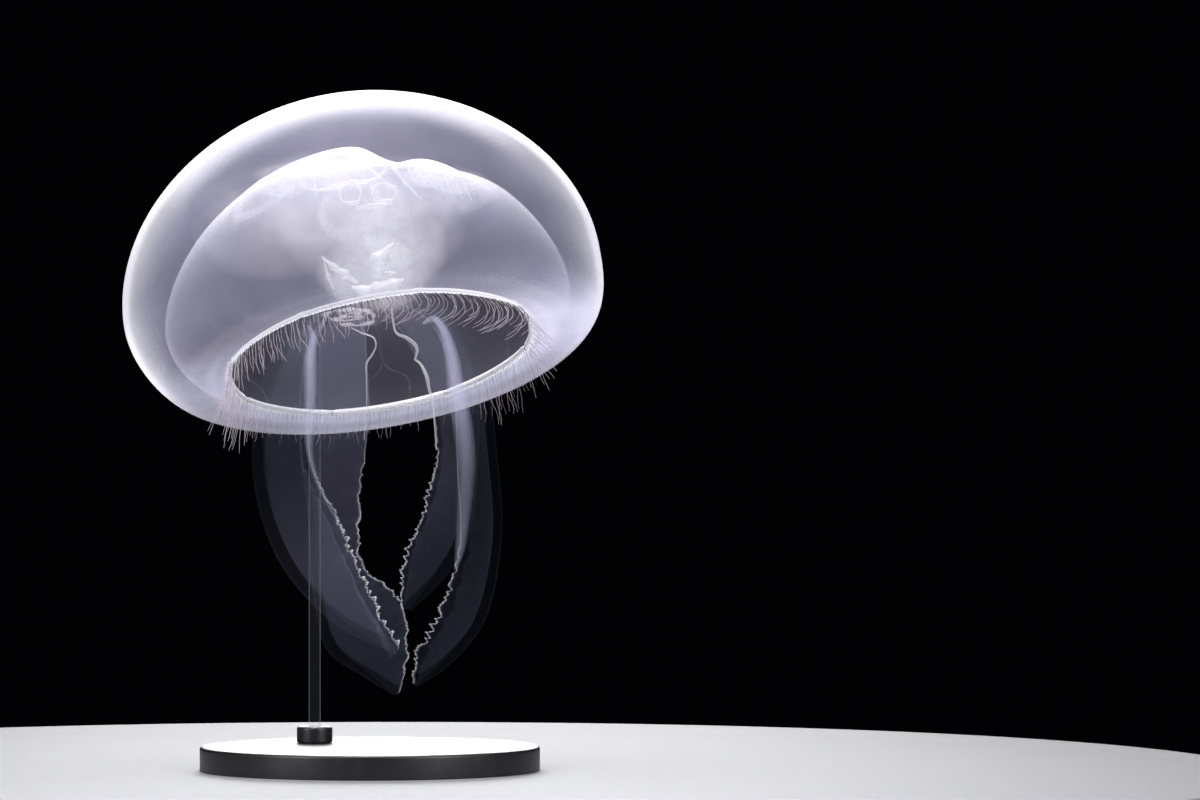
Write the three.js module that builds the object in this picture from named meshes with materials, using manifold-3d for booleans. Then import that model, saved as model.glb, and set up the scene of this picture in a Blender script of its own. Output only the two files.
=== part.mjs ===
// A moon jellyfish as a life-size still model on a plain display stand.
// Millimetres, +Z up. The origin is the centre of the base's underside, and -Y is the front.
//
// The bell is shaped in the umbrella's own frame: its origin is the centre of the bell's
// opening, z runs up the bell's axis, and angles run round that axis from +x. The umbrella
// banks to one side and leans back on its stand, so its opening looks down and forward.
// The oral arms hang in the upright frame of the stand.

import * as THREE from 'three';
import { LoftGeometry } from 'three/addons/geometries/LoftGeometry.js';
import { mergeVertices } from 'three/addons/utils/BufferGeometryUtils.js';
import Module from 'manifold-3d';

const wasm = await Module();
wasm.setup();

// ---- Driving dimensions -------------------------------------------------------------

const GAP = 0.3; // between neighbouring pieces

// The bell's two skins. Each is a dome from its apex to its widest ring, the girth.
const OUTSIDE = { radius: 120, girth: 36.5, apex: 132, squareness: 1.92 };
const INSIDE = { radius: 101, girth: 25.5, apex: 110.5, squareness: 1.65 };

// Below the girth each skin turns in to a foot, and runs nearly flat from there to the lip.
const OUTSIDE_FOOT = new THREE.Vector2(98, -0.7);
const INSIDE_FOOT = new THREE.Vector2(87, 6);

const OPENING_RADIUS = 75;
const OPENING_SHIFT = 3.5; // of the opening towards +x, off the bell's axis
const LIP_HEIGHT = 3; // of the jelly at the edge of the opening
const LAPPET_REACH = 0.7; // of each lobe's edge into the opening, and of each notch out of it
const LOBES = 8;

const CROWN_SHARE = 0.4; // of the dome that the crown takes
const SEAM_SHARE = 0.003; // of the dome left free between the crown and the lobes
const RIM_RADIUS = 85; // where the rim meets the wall

const OPENING_CENTRE = new THREE.Vector3(3, -20, 206.5);
const BANK = THREE.MathUtils.degToRad(10.9);
const LEAN = THREE.MathUtils.degToRad(20.3);

// Tentacles of the fringe.
const TENTACLES_PER_LOBE = 11;
const TENTACLE_THICKNESS = 0.62;
const TENTACLE_LENGTH = { back: 8, front: 18, side: 12, spread: 2.5 }; // side is extra
const TENTACLE_ROOT = new THREE.Vector2(77, 0.6);
const TENTACLE_FLARE = 0.32; // how far they lean out as they hang

// Stomach pouches: horseshoe gonads under the ceiling, and the manubrium with the mouth.
const GONAD = {
  centre: 39, bend: 15, turn: 290, halfWidth: 5.5, halfHeight: 5.5, clearance: 0.9,
};
const MANUBRIUM = [
  // [height, radius] from the ceiling down to the mouth
  [107.6, 13],
  [98, 11],
  [80, 9.2],
  [60, 9.6],
  [46, 12.4],
  [34, 13],
  [28.5, 10.5],
];
const MANUBRIUM_CORNERS = 0.16; // how far its four corners stand out, as a share of its radius

// Oral arms. Each is a blade between an outer keel and an inner frilled edge, which are
// curves through paired stations from the mouth to the tip, [x, y, z] in the stand's frame.
const ARMS = {
  front_left: {
    keel: [
      [-6, -11, 246], [-33, -26, 231], [-51, -38, 196], [-56, -44, 150],
      [-44, -43, 107], [-17, -34, 75], [13, -24, 59],
    ],
    frill: [
      [-6, -11, 236], [-26, -22, 220], [-29, -28, 192], [-28.5, -30, 157],
      [-13, -29, 121], [0.5, -26, 89], [15, -24, 62],
    ],
  },
  back_left: {
    keel: [
      [-4, -8, 244], [-27, 4, 225], [-36, 12, 180], [-32, 16, 128],
      [-28.5, 16, 84], [-22, 14, 59], [-4, 10, 46.5], [12, 6, 37],
    ],
    frill: [
      [-3, -7, 236], [-2, 0, 214], [-1, 5, 178], [-6, 6, 128],
      [-4, 6, 103], [16, 5, 82], [18, 4, 60], [15, 5, 39],
    ],
  },
  back_right: {
    keel: [
      [0, -8, 246], [33, 4, 230], [52, 12, 192], [53.5, 16, 150],
      [49, 16, 116], [38, 13, 97], [20, 10, 79],
    ],
    frill: [
      [1, -8, 237], [19, 1, 214], [29, 6, 190], [33, 8, 154],
      [25, 8, 125], [17, 8, 103], [15, 8, 82],
    ],
  },
  front_right: {
    keel: [
      [0, -12, 248], [36, -24, 238], [57, -36, 200], [64.5, -42, 155],
      [66.5, -44, 118], [57.5, -40, 75], [38, -34, 52], [24, -28, 43],
    ],
    frill: [
      [1, -12, 239], [30, -20, 224], [41.5, -28, 196], [44.5, -30, 150],
      [45.5, -32, 112], [36, -30, 80], [25, -28, 60], [22.5, -27, 45],
    ],
  },
};
const ARM_HALF_THICKNESS = 2.6; // beside the keel, at the mouth
const ARM_TIP_THINNING = 0.35; // share of that lost by the tip
const ARM_LENGTHS = ['upper', 'middle', 'tip'];
const ARM_CUT = 0.0026; // share of an arm left free between two of its lengths
const FRILL_WAVES = 9;
const FRILL_REACH = 1.1;
// A blade's section, as [share of its width from the keel, share of its half thickness].
const BLADE_SECTION = [
  [0, 0], [0.07, 1], [0.32, 0.78], [0.72, 0.4], [1, 0.18],
  [1, -0.18], [0.72, -0.4], [0.32, -0.78], [0.07, -1],
];

// Stand.
const BASE_RADIUS = 85;
const BASE_THICKNESS = 12;
const BASE_BEVEL = 1.5;
const ROD_RADIUS = 3;
const ROD_SPOT = new THREE.Vector2(-15.5, 15.5); // under the ceiling, in the umbrella's frame
const COLLAR = { radius: 9, height: 8, bevel: 1.5 };
const PAD = { radius: 6.5, height: 3, bevel: 0.8 };

// Facets.
const COLUMNS_PER_LOBE = 5;
const CROWN_ROWS = 5;
const WALL_ROWS = 6;
const FOOT_ROWS = 4;
const MANUBRIUM_SIDES = 16;
const GONAD_STEPS = 11;
const GONAD_SIDES = 8;
const TENTACLE_STEPS = 3;
const ARM_STEPS = 7; // in each of an arm's lengths
const ROUND_SIDES = 48;

// ---- Solids -------------------------------------------------------------------------

const TURN = 2 * Math.PI;
const lerp = THREE.MathUtils.lerp;

function steps(count) {
  return Array.from({ length: count + 1 }, (_, i) => i / count);
}

// A repeatable number between -1 and 1 for a piece and one of its traits.
function wobble(piece, trait) {
  const wave = Math.sin(piece * 12.9898 + trait * 78.233) * 43758.5453;
  return 2 * (wave - Math.floor(wave)) - 1;
}

function toManifold(geometry) {
  const bare = new THREE.BufferGeometry();
  bare.setAttribute('position', geometry.getAttribute('position'));
  bare.setIndex(geometry.index);
  const merged = mergeVertices(bare, 1e-4);
  return new wasm.Manifold(new wasm.Mesh({
    numProp: 3,
    vertProperties: merged.attributes.position.array,
    triVerts: new Uint32Array(merged.index.array),
  }));
}

function toGeometry(manifold) {
  const mesh = manifold.getMesh();
  const geometry = new THREE.BufferGeometry();
  geometry.setAttribute('position', new THREE.BufferAttribute(mesh.vertProperties, 3));
  geometry.setIndex(new THREE.BufferAttribute(mesh.triVerts, 1));
  geometry.computeVertexNormals();
  return geometry;
}

function centroid(ring) {
  const sum = ring.reduce((total, point) => total.add(point), new THREE.Vector3());
  return sum.divideScalar(ring.length);
}

// Whether a ring runs anticlockwise for an eye further along the row, looking back.
function runsForward(ring, next) {
  const middle = centroid(ring);
  const ahead = centroid(next).sub(middle);
  return ring.reduce((total, point, i) => {
    const from = point.clone().sub(middle);
    const to = ring[(i + 1) % ring.length].clone().sub(middle);
    return total + from.cross(to).dot(ahead);
  }, 0) > 0;
}

// A closed solid through a row of rings, whichever way round they run.
function loft(rings) {
  const forward = runsForward(rings[0], rings[1]);
  const ordered = forward ? rings : rings.map((ring) => [...ring].reverse());
  return new LoftGeometry(ordered, { capStart: true, capEnd: true });
}

// A round solid about z from an outline of [radius, height] points that starts and ends on
// the axis or closes on itself.
function turned(outline, sides = ROUND_SIDES) {
  const make = (points) => new THREE.LatheGeometry(points, sides).rotateX(Math.PI / 2);
  const geometry = make(outline);
  return toManifold(geometry).volume() > 0 ? geometry : make([...outline].reverse());
}

function around(radius, angle, height) {
  return new THREE.Vector3(radius * Math.cos(angle), radius * Math.sin(angle), height);
}

// ---- Bell ---------------------------------------------------------------------------

// A point of a skin's dome, from its apex at 0 to its girth at 1.
function dome(skin, share) {
  const angle = share * Math.PI / 2;
  const power = 2 / skin.squareness;
  const rise = (skin.apex - skin.girth) * Math.cos(angle) ** power;
  return new THREE.Vector2(skin.radius * Math.sin(angle) ** power, skin.girth + rise);
}

// A point of a skin below its girth, from there at 0 to the foot at 1.
function turnIn(skin, foot, share) {
  const angle = share * Math.PI / 2;
  return new THREE.Vector2(
    foot.x + (skin.radius - foot.x) * Math.cos(angle),
    skin.girth - (skin.girth - foot.y) * Math.sin(angle),
  );
}

// The height of the subumbrella's ceiling at a distance from the axis.
function ceiling(radius) {
  const power = INSIDE.squareness;
  const level = (1 - (radius / INSIDE.radius) ** power) ** (1 / power);
  return INSIDE.girth + (INSIDE.apex - INSIDE.girth) * level;
}

// The height of the nearly flat stretch between a foot and the lip.
function lipLevel(foot, lipHeight, radius) {
  const share = (radius - OPENING_RADIUS) / (foot.x - OPENING_RADIUS);
  return lerp(lipHeight, foot.y, share);
}

function crown() {
  const outer = steps(CROWN_ROWS).map((s) => dome(OUTSIDE, s * CROWN_SHARE));
  const inner = steps(CROWN_ROWS).map((s) => dome(INSIDE, s * CROWN_SHARE));
  const columns = LOBES * COLUMNS_PER_LOBE;
  // Half a column's turn brings its facets into line with the lobes'.
  return turned([...outer, ...inner.reverse()], columns).rotateZ(TURN / columns / 2);
}

// The wall's section, from the crown's seam out over the girth to the rim, and back inside.
function wallOutline() {
  const start = CROWN_SHARE + SEAM_SHARE;
  const cut = RIM_RADIUS + GAP;
  const skin = (shape, foot) => [
    ...steps(WALL_ROWS).map((s) => dome(shape, lerp(start, 1, s))),
    ...steps(FOOT_ROWS).slice(1).map((s) => turnIn(shape, foot, s)),
  ];
  return [
    ...skin(OUTSIDE, OUTSIDE_FOOT),
    new THREE.Vector2(cut, lipLevel(OUTSIDE_FOOT, 0, cut)),
    new THREE.Vector2(cut, lipLevel(INSIDE_FOOT, LIP_HEIGHT, cut)),
    ...skin(INSIDE, INSIDE_FOOT).reverse(),
  ];
}

function rimOutline() {
  return [
    new THREE.Vector2(OPENING_RADIUS + 0.4, 0),
    new THREE.Vector2(RIM_RADIUS, lipLevel(OUTSIDE_FOOT, 0, RIM_RADIUS)),
    new THREE.Vector2(RIM_RADIUS, lipLevel(INSIDE_FOOT, LIP_HEIGHT, RIM_RADIUS)),
    new THREE.Vector2(OPENING_RADIUS + 0.4, LIP_HEIGHT),
    new THREE.Vector2(OPENING_RADIUS, LIP_HEIGHT / 2),
  ];
}

// The edge of the opening swings in at each lobe's middle and out at the notches between.
function lappet(point, angle) {
  const nearEdge = THREE.MathUtils.smoothstep(RIM_RADIUS - point.x, 0, 6);
  return -LAPPET_REACH * Math.cos(LOBES * angle) * nearEdge;
}

// The opening lies off the bell's axis, and the wall below the girth swings over to meet it.
function swing(point, angle) {
  const low = 1 - THREE.MathUtils.smoothstep(point.y, 0, OUTSIDE.girth);
  return OPENING_SHIFT * low * Math.cos(angle);
}

// One lobe's share of the turn for an outline of [radius, height] points.
function lobeSolid(outline, middle) {
  const half = TURN / LOBES / 2 - GAP / 2 / OPENING_RADIUS;
  return loft(steps(COLUMNS_PER_LOBE).map((share) => {
    const angle = middle + lerp(-half, half, share);
    return outline.map((p) => {
      const radius = p.x + lappet(p, angle) + swing(p, angle);
      return around(radius, angle, p.y);
    });
  }));
}

// ---- Fringe -------------------------------------------------------------------------

// Down, as the umbrella's own frame sees it.
const TILT = new THREE.Euler(-LEAN, -BANK, 0, 'YXZ');
const DOWN = new THREE.Vector3(0, 0, -1)
  .applyQuaternion(new THREE.Quaternion().setFromEuler(TILT).invert());

// One tentacle hangs from under the lip, leans out and curls to one side.
function tentacle(angle, number) {
  const outward = around(1, angle, 0);
  const sideways = around(1, angle + Math.PI / 2, 0);
  const length = lerp(TENTACLE_LENGTH.front, TENTACLE_LENGTH.back, (1 + Math.sin(angle)) / 2)
    + TENTACLE_LENGTH.side * Math.abs(Math.cos(angle)) ** 3
    + TENTACLE_LENGTH.spread * wobble(number, 1);
  const root = around(TENTACLE_ROOT.x + swing(TENTACLE_ROOT, angle), angle, TENTACLE_ROOT.y);
  const radius = TENTACLE_THICKNESS / 1.5;
  return loft(steps(TENTACLE_STEPS).map((share) => {
    const spine = root.clone()
      .addScaledVector(DOWN, length * share)
      .addScaledVector(outward, length * TENTACLE_FLARE * share ** 0.8)
      .addScaledVector(sideways, length * 0.12 * wobble(number, 2) * share ** 2);
    return [0, 1, 2].map((corner) => {
      const turn = TURN * corner / 3;
      return spine.clone()
        .addScaledVector(outward, radius * Math.cos(turn))
        .addScaledVector(sideways, radius * Math.sin(turn));
    });
  }));
}

function rimWithFringe(middle, lobe) {
  let rim = toManifold(lobeSolid(rimOutline(), middle));
  for (let i = 0; i < TENTACLES_PER_LOBE; i += 1) {
    const share = (i + 0.5) / TENTACLES_PER_LOBE - 0.5;
    const angle = middle + share * TURN / LOBES;
    rim = rim.add(toManifold(tentacle(angle, lobe * TENTACLES_PER_LOBE + i)));
  }
  return toGeometry(rim);
}

// ---- Stomach ------------------------------------------------------------------------

// A gonad is a horseshoe roll that follows the ceiling, its open side towards the axis.
function gonad(direction) {
  const half = THREE.MathUtils.degToRad(GONAD.turn) / 2;
  const out = around(1, direction, 0);
  const side = around(1, direction + Math.PI / 2, 0);
  return loft(steps(GONAD_STEPS).map((share) => {
    const turn = lerp(-half, half, share);
    const swell = 0.62 + 0.38 * Math.sin(Math.PI * share) ** 0.5;
    const lateral = side.clone().multiplyScalar(Math.sin(turn))
      .addScaledVector(out, Math.cos(turn));
    const spine = out.clone().multiplyScalar(GONAD.centre)
      .addScaledVector(lateral, GONAD.bend);
    return steps(GONAD_SIDES).slice(1).map((part) => {
      const roll = TURN * part;
      const point = spine.clone()
        .addScaledVector(lateral, GONAD.halfWidth * swell * Math.cos(roll));
      const radius = Math.hypot(point.x, point.y);
      const drop = GONAD.halfHeight * swell * (1 + Math.sin(roll));
      point.z = ceiling(radius) - GONAD.clearance - drop;
      return point;
    });
  }));
}

// The manubrium is a four-cornered tube of jelly: its corners run down into the arms.
function manubrium(grow = 0) {
  const last = MANUBRIUM.length - 1;
  return loft(MANUBRIUM.map(([height, radius], row) => {
    const level = height + (row === 0 ? grow : 0) - (row === last ? grow : 0);
    return steps(MANUBRIUM_SIDES).slice(1).map((part) => {
      const angle = TURN * part;
      const corner = 1 - MANUBRIUM_CORNERS * Math.cos(4 * angle);
      return around(radius * corner + grow, angle, level);
    });
  }));
}

// ---- Oral arms ----------------------------------------------------------------------

function curveThrough(stations) {
  return new THREE.CatmullRomCurve3(stations.map((p) => new THREE.Vector3(...p)));
}

// The ring of a blade at a share of the way from the mouth to the tip.
function bladeRing(keel, frill, share) {
  const outer = keel.getPoint(share);
  const across = frill.getPoint(share).sub(outer);
  const width = across.length();
  const wave = Math.sin(TURN * FRILL_WAVES * share) * Math.sin(Math.PI * share);
  across.setLength(width + FRILL_REACH * wave);
  const along = keel.getTangent(share).add(frill.getTangent(share));
  const flat = new THREE.Vector3().crossVectors(along, across).normalize();
  const thick = ARM_HALF_THICKNESS * (1 - ARM_TIP_THINNING * share);
  return BLADE_SECTION.map(([reach, swell]) => outer.clone()
    .addScaledVector(across, reach)
    .addScaledVector(flat, swell * thick));
}

function armLength(arm, index) {
  const keel = curveThrough(arm.keel);
  const frill = curveThrough(arm.frill);
  const start = index / ARM_LENGTHS.length + (index ? ARM_CUT : 0);
  const end = (index + 1) / ARM_LENGTHS.length;
  return loft(steps(ARM_STEPS).map((s) => bladeRing(keel, frill, lerp(start, end, s))));
}

// ---- Stand --------------------------------------------------------------------------

function bevelledDisc(radius, low, high, bevel, bore = 0) {
  const outline = [
    new THREE.Vector2(bore, low),
    new THREE.Vector2(radius, low),
    new THREE.Vector2(radius, high - bevel),
    new THREE.Vector2(radius - bevel, high),
    new THREE.Vector2(bore, high),
  ];
  if (bore) outline.push(outline[0].clone());
  return turned(outline);
}

function rod(spot, low, high) {
  return turned([
    new THREE.Vector2(0, low),
    new THREE.Vector2(ROD_RADIUS, low),
    new THREE.Vector2(ROD_RADIUS, high),
    new THREE.Vector2(0, high),
  ], 16).translate(spot.x, spot.y, 0);
}

// ---- Materials ----------------------------------------------------------------------

function material(color, roughness, opacity = 1) {
  const see = opacity < 1;
  return new THREE.MeshStandardMaterial({ color, roughness, opacity, transparent: see });
}

const makeJelly = () => material(0xa9a7c0, 0.25, 0.55);
const makeFringe = () => material(0xcfc6d8, 0.4, 0.85);
const makeOrgan = () => material(0xf0eef8, 0.35, 0.8);
const makeArm = () => material(0x8f94ad, 0.3, 0.6);
const makeBase = () => material(0x17181c, 0.45);
const makeClear = () => material(0xdfe6ee, 0.08, 0.4);

// ---- Assembly -----------------------------------------------------------------------

const jellyfish = new THREE.Group();
const umbrella = new THREE.Group();
umbrella.position.copy(OPENING_CENTRE);
umbrella.rotation.copy(TILT);
jellyfish.add(umbrella);

function addMesh(parent, name, geometry, finish) {
  const mesh = new THREE.Mesh(geometry, finish);
  mesh.name = name;
  parent.add(mesh);
}

addMesh(umbrella, 'bell_crown', crown(), makeJelly());

const SIDES = [
  'right', 'back_right', 'back', 'back_left', 'left', 'front_left', 'front', 'front_right',
];
SIDES.forEach((side, index) => {
  const middle = TURN * index / LOBES;
  addMesh(umbrella, `bell_lobe_${side}`, lobeSolid(wallOutline(), middle), makeJelly());
  addMesh(umbrella, `rim_fringe_${side}`, rimWithFringe(middle, index), makeFringe());
});

['right', 'back', 'left', 'front'].forEach((side, index) => {
  addMesh(umbrella, `gonad_${side}`, gonad(TURN * index / 4), makeOrgan());
});

addMesh(umbrella, 'manubrium', manubrium(), makeOrgan());

// The arms grow out of the manubrium, so its place is cut out of their roots.
umbrella.updateMatrixWorld(true);
const mouthSpace = toManifold(manubrium(GAP).applyMatrix4(umbrella.matrixWorld));
for (const [side, arm] of Object.entries(ARMS)) {
  ARM_LENGTHS.forEach((part, index) => {
    let geometry = armLength(arm, index);
    if (index === 0) geometry = toGeometry(toManifold(geometry).subtract(mouthSpace));
    addMesh(jellyfish, `arm_${side}_${part}`, geometry, makeArm());
  });
}

// The rod stands on the base and carries a pad that lies under the ceiling of the bell.
const padLevel = ceiling(ROD_SPOT.length() + PAD.radius) - GAP;
const padTop = new THREE.Vector3(ROD_SPOT.x, ROD_SPOT.y, padLevel);
const padFoot = padTop.clone().setZ(padTop.z - PAD.height);
const rodTop = umbrella.localToWorld(padFoot.clone());
const standLow = BASE_THICKNESS + GAP;

const pad = bevelledDisc(PAD.radius, 0, PAD.height, PAD.bevel);
addMesh(umbrella, 'stand_pad', pad.translate(padFoot.x, padFoot.y, padFoot.z), makeClear());

const padSlope = Math.tan(Math.acos(-DOWN.z));
const rodHigh = rodTop.z - GAP - ROD_RADIUS * padSlope;
addMesh(jellyfish, 'stand_rod', rod(rodTop, standLow, rodHigh), makeClear());

const collar = bevelledDisc(
  COLLAR.radius, standLow, standLow + COLLAR.height, COLLAR.bevel, ROD_RADIUS + GAP,
);
addMesh(jellyfish, 'stand_collar', collar.translate(rodTop.x, rodTop.y, 0), makeBase());

const base = bevelledDisc(BASE_RADIUS, 0, BASE_THICKNESS, BASE_BEVEL);
addMesh(jellyfish, 'stand_base', base, makeBase());

export default jellyfish;
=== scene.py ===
# %% [markdown]
# # A moon jellyfish, life size, on a display stand
#
# A moon jellyfish is nearly all clear jelly: a domed bell, a fringe of fine tentacles round
# its opening, four horseshoe gonads that shine through the top, and four long arms that
# hang from the mouth. This lesson dresses a plain solid model of one. Each cell makes one
# thing, so any of them can be changed and run again without touching the rest. The solid
# model sets every size and place, so loading it is the first step.

import math

import bmesh
import bpy
import numpy as np
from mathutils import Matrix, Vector


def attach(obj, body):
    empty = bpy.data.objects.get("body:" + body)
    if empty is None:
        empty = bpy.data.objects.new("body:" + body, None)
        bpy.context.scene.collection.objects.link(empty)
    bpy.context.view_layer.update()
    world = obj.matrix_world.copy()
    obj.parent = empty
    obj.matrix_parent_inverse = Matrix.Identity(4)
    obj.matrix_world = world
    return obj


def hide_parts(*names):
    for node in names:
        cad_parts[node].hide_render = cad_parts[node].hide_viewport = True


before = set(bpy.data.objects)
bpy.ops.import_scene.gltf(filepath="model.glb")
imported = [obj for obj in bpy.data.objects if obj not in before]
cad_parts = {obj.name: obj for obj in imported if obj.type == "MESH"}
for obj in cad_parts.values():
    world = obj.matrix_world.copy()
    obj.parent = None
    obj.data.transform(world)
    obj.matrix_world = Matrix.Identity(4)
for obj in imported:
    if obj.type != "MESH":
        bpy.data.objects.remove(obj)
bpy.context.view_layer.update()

# %% [markdown]
# ## Two frames of reference
#
# The bell is banked and leans back, which would make every point on it awkward to write
# down. A common answer is to shape a tilted thing upright, in a frame of its own, and to
# turn the finished points with one matrix. Here `TURN` holds the three directions of the
# bell's frame as columns, and `to_stand` carries millimetres from that frame to the
# stand's. Blender's own object rotation would do as well, but the arms live in the stand's
# frame and need to meet the bell, so plain numbers are simpler.

# %% The bell's own frame
MM = 0.001
OPENING_CENTRE = np.array([3.0, -20.0, 206.5])
BANK, LEAN = math.radians(10.9), math.radians(20.3)

cb, sb, cl, sl = math.cos(BANK), math.sin(BANK), math.cos(LEAN), math.sin(LEAN)
TURN = np.array([[cb, sb * sl, -sb * cl], [0, cl, sl], [sb, -cb * sl, cb * cl]])


def to_stand(points):
    return np.asarray(points, float) @ TURN.T + OPENING_CENTRE


def to_bell(points):
    return (np.asarray(points, float) - OPENING_CENTRE) @ TURN


DOWN = np.array([0.0, 0.0, -1.0]) @ TURN
print("the bell's axis in the stand's frame:", TURN[:, 2].round(3))

# %% [markdown]
# ## Gathering points into a piece
#
# Most of the animal is made of swept rings: a tentacle, an arm and the bell itself are all
# rows of points joined by quads. `Shape` gathers such rows, with numbers at each point
# that a finish can read later, and `make` turns the lot into one mesh object, with each
# point's place in the bell's frame written on it as well.
# It would also work to make hundreds of separate objects, but one mesh for all the
# tentacles draws faster and rides on the stand as one piece. On smooth faces Cycles starts
# its shadow rays a little off the surface, to hide the facets. On skins as thin as these
# that makes a faint ragged line stand out where a light grazes them, so `make` sets it to 0.

# %% The gatherer
class Shape:
    """Points in the stand's frame in mm, their faces, and numbers that finishes read."""

    def __init__(self, *marks):
        self.points, self.faces, self.finishes = [], [], []
        self.marks = {mark: [] for mark in marks}
        self.count = 0

    def add(self, points, faces, finish=0, **marks):
        points = np.asarray(points, float).reshape(-1, 3)
        self.points.append(points)
        self.faces += [[i + self.count for i in face] for face in faces]
        self.finishes += [finish] * len(faces) if isinstance(finish, int) else finish
        for mark, kept in self.marks.items():
            kept.append(np.broadcast_to(np.asarray(marks[mark], float), len(points)))
        self.count += len(points)


def ring_faces(rows, columns, closed=True, caps=True):
    """Quads between neighbouring rows of a grid, and a cap on each end of a tube."""
    j = np.arange(columns if closed else columns - 1)
    k = (j + 1) % columns
    i = np.arange(rows - 1)[:, None] * columns
    quads = np.stack([i + j, i + k, i + columns + k, i + columns + j], axis=-1)
    faces = quads.reshape(-1, 4).tolist()
    if closed and caps:
        faces.append(list(range(columns))[::-1])
        faces.append([(rows - 1) * columns + c for c in range(columns)])
    return faces


def looped_faces(rows, columns):
    """As ring_faces, with the last row joined to the first in place of caps."""
    last = (rows - 1) * columns
    return ring_faces(rows, columns, caps=False) + [
        [last + c, last + (c + 1) % columns, (c + 1) % columns, c] for c in range(columns)]


def make(name, shape, finishes, slot, *nodes):
    mesh = bpy.data.meshes.new(name)
    points = np.concatenate(shape.points) * MM
    mesh.from_pydata(points.tolist(), [], shape.faces)
    for mark, kept in shape.marks.items():
        mesh.attributes.new(mark, "FLOAT", "POINT").data.foreach_set(
            "value", np.concatenate(kept))
    mesh.attributes.new("bell", "FLOAT_VECTOR", "POINT").data.foreach_set(
        "vector", to_bell(points / MM).ravel())
    for finish in finishes:
        mesh.materials.append(finish)
    mesh.polygons.foreach_set("material_index", shape.finishes)
    mesh.polygons.foreach_set("use_smooth", [True] * len(shape.faces))
    work = bmesh.new()
    work.from_mesh(mesh)
    bmesh.ops.recalc_face_normals(work, faces=work.faces)
    work.to_mesh(mesh)
    work.free()
    piece = bpy.data.objects.new(name, mesh)
    piece.cycles.shadow_terminator_geometry_offset = 0.0
    bpy.context.scene.collection.objects.link(piece)
    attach(piece, "root")
    if nodes:
        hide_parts(*nodes)
    low, high = points.min(axis=0), points.max(axis=0)
    print(name, "faces", len(mesh.polygons), "size in mm", ((high - low) / MM).round(1))


print("a capped tube of 3 rings of 6 points has", len(ring_faces(3, 6)), "faces")

# %% [markdown]
# ## Writing shader maths as plain sums
#
# A finish is a small program. In the node editor each plus and times is a box with wires,
# which soon becomes hard to read. `Wire` wraps one socket and gives it the usual signs, so
# `1 - (1 - thin) ** (1 / facing)` adds the Math nodes by itself. `Finish.node` makes any
# other node: its kind, its settings, then what goes into its sockets. The same nodes could
# be placed by hand in the editor, and they can be looked at there after a run.
#
# A tint is either one colour or three things: a share, and the two tints that it fades
# between. Where light shines through from behind, such a tint is made of plain shaders
# mixed by that share, since an exporter can bake a mix but not a colour that changes there.

# %% Wires and finishes
def sign(operation, reflected=False):
    """A method that adds one Math node. In its reflected form the wire comes second."""
    def method(self, other):
        first, second = (other, self) if reflected else (self, other)
        return self.finish.node("Math", {"operation": operation}, {0: first, 1: second})
    return method


class Wire:
    """One socket of a finish, with the usual signs."""

    __add__, __radd__ = sign("ADD"), sign("ADD", True)
    __sub__, __rsub__ = sign("SUBTRACT"), sign("SUBTRACT", True)
    __mul__, __rmul__ = sign("MULTIPLY"), sign("MULTIPLY", True)
    __truediv__, __rtruediv__ = sign("DIVIDE"), sign("DIVIDE", True)
    __pow__, __rpow__ = sign("POWER"), sign("POWER", True)
    least, most = sign("MAXIMUM"), sign("MINIMUM")

    def __init__(self, finish, socket):
        self.finish, self.socket = finish, socket

    def ramp(self, low, high, start=0.0, end=1.0):
        """A smooth step of this value from low to high."""
        settings = {"interpolation_type": "SMOOTHSTEP"}
        sockets = {"Value": self, "From Min": low, "From Max": high,
                   "To Min": start, "To Max": end}
        return self.finish.node("MapRange", settings, sockets)


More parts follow.
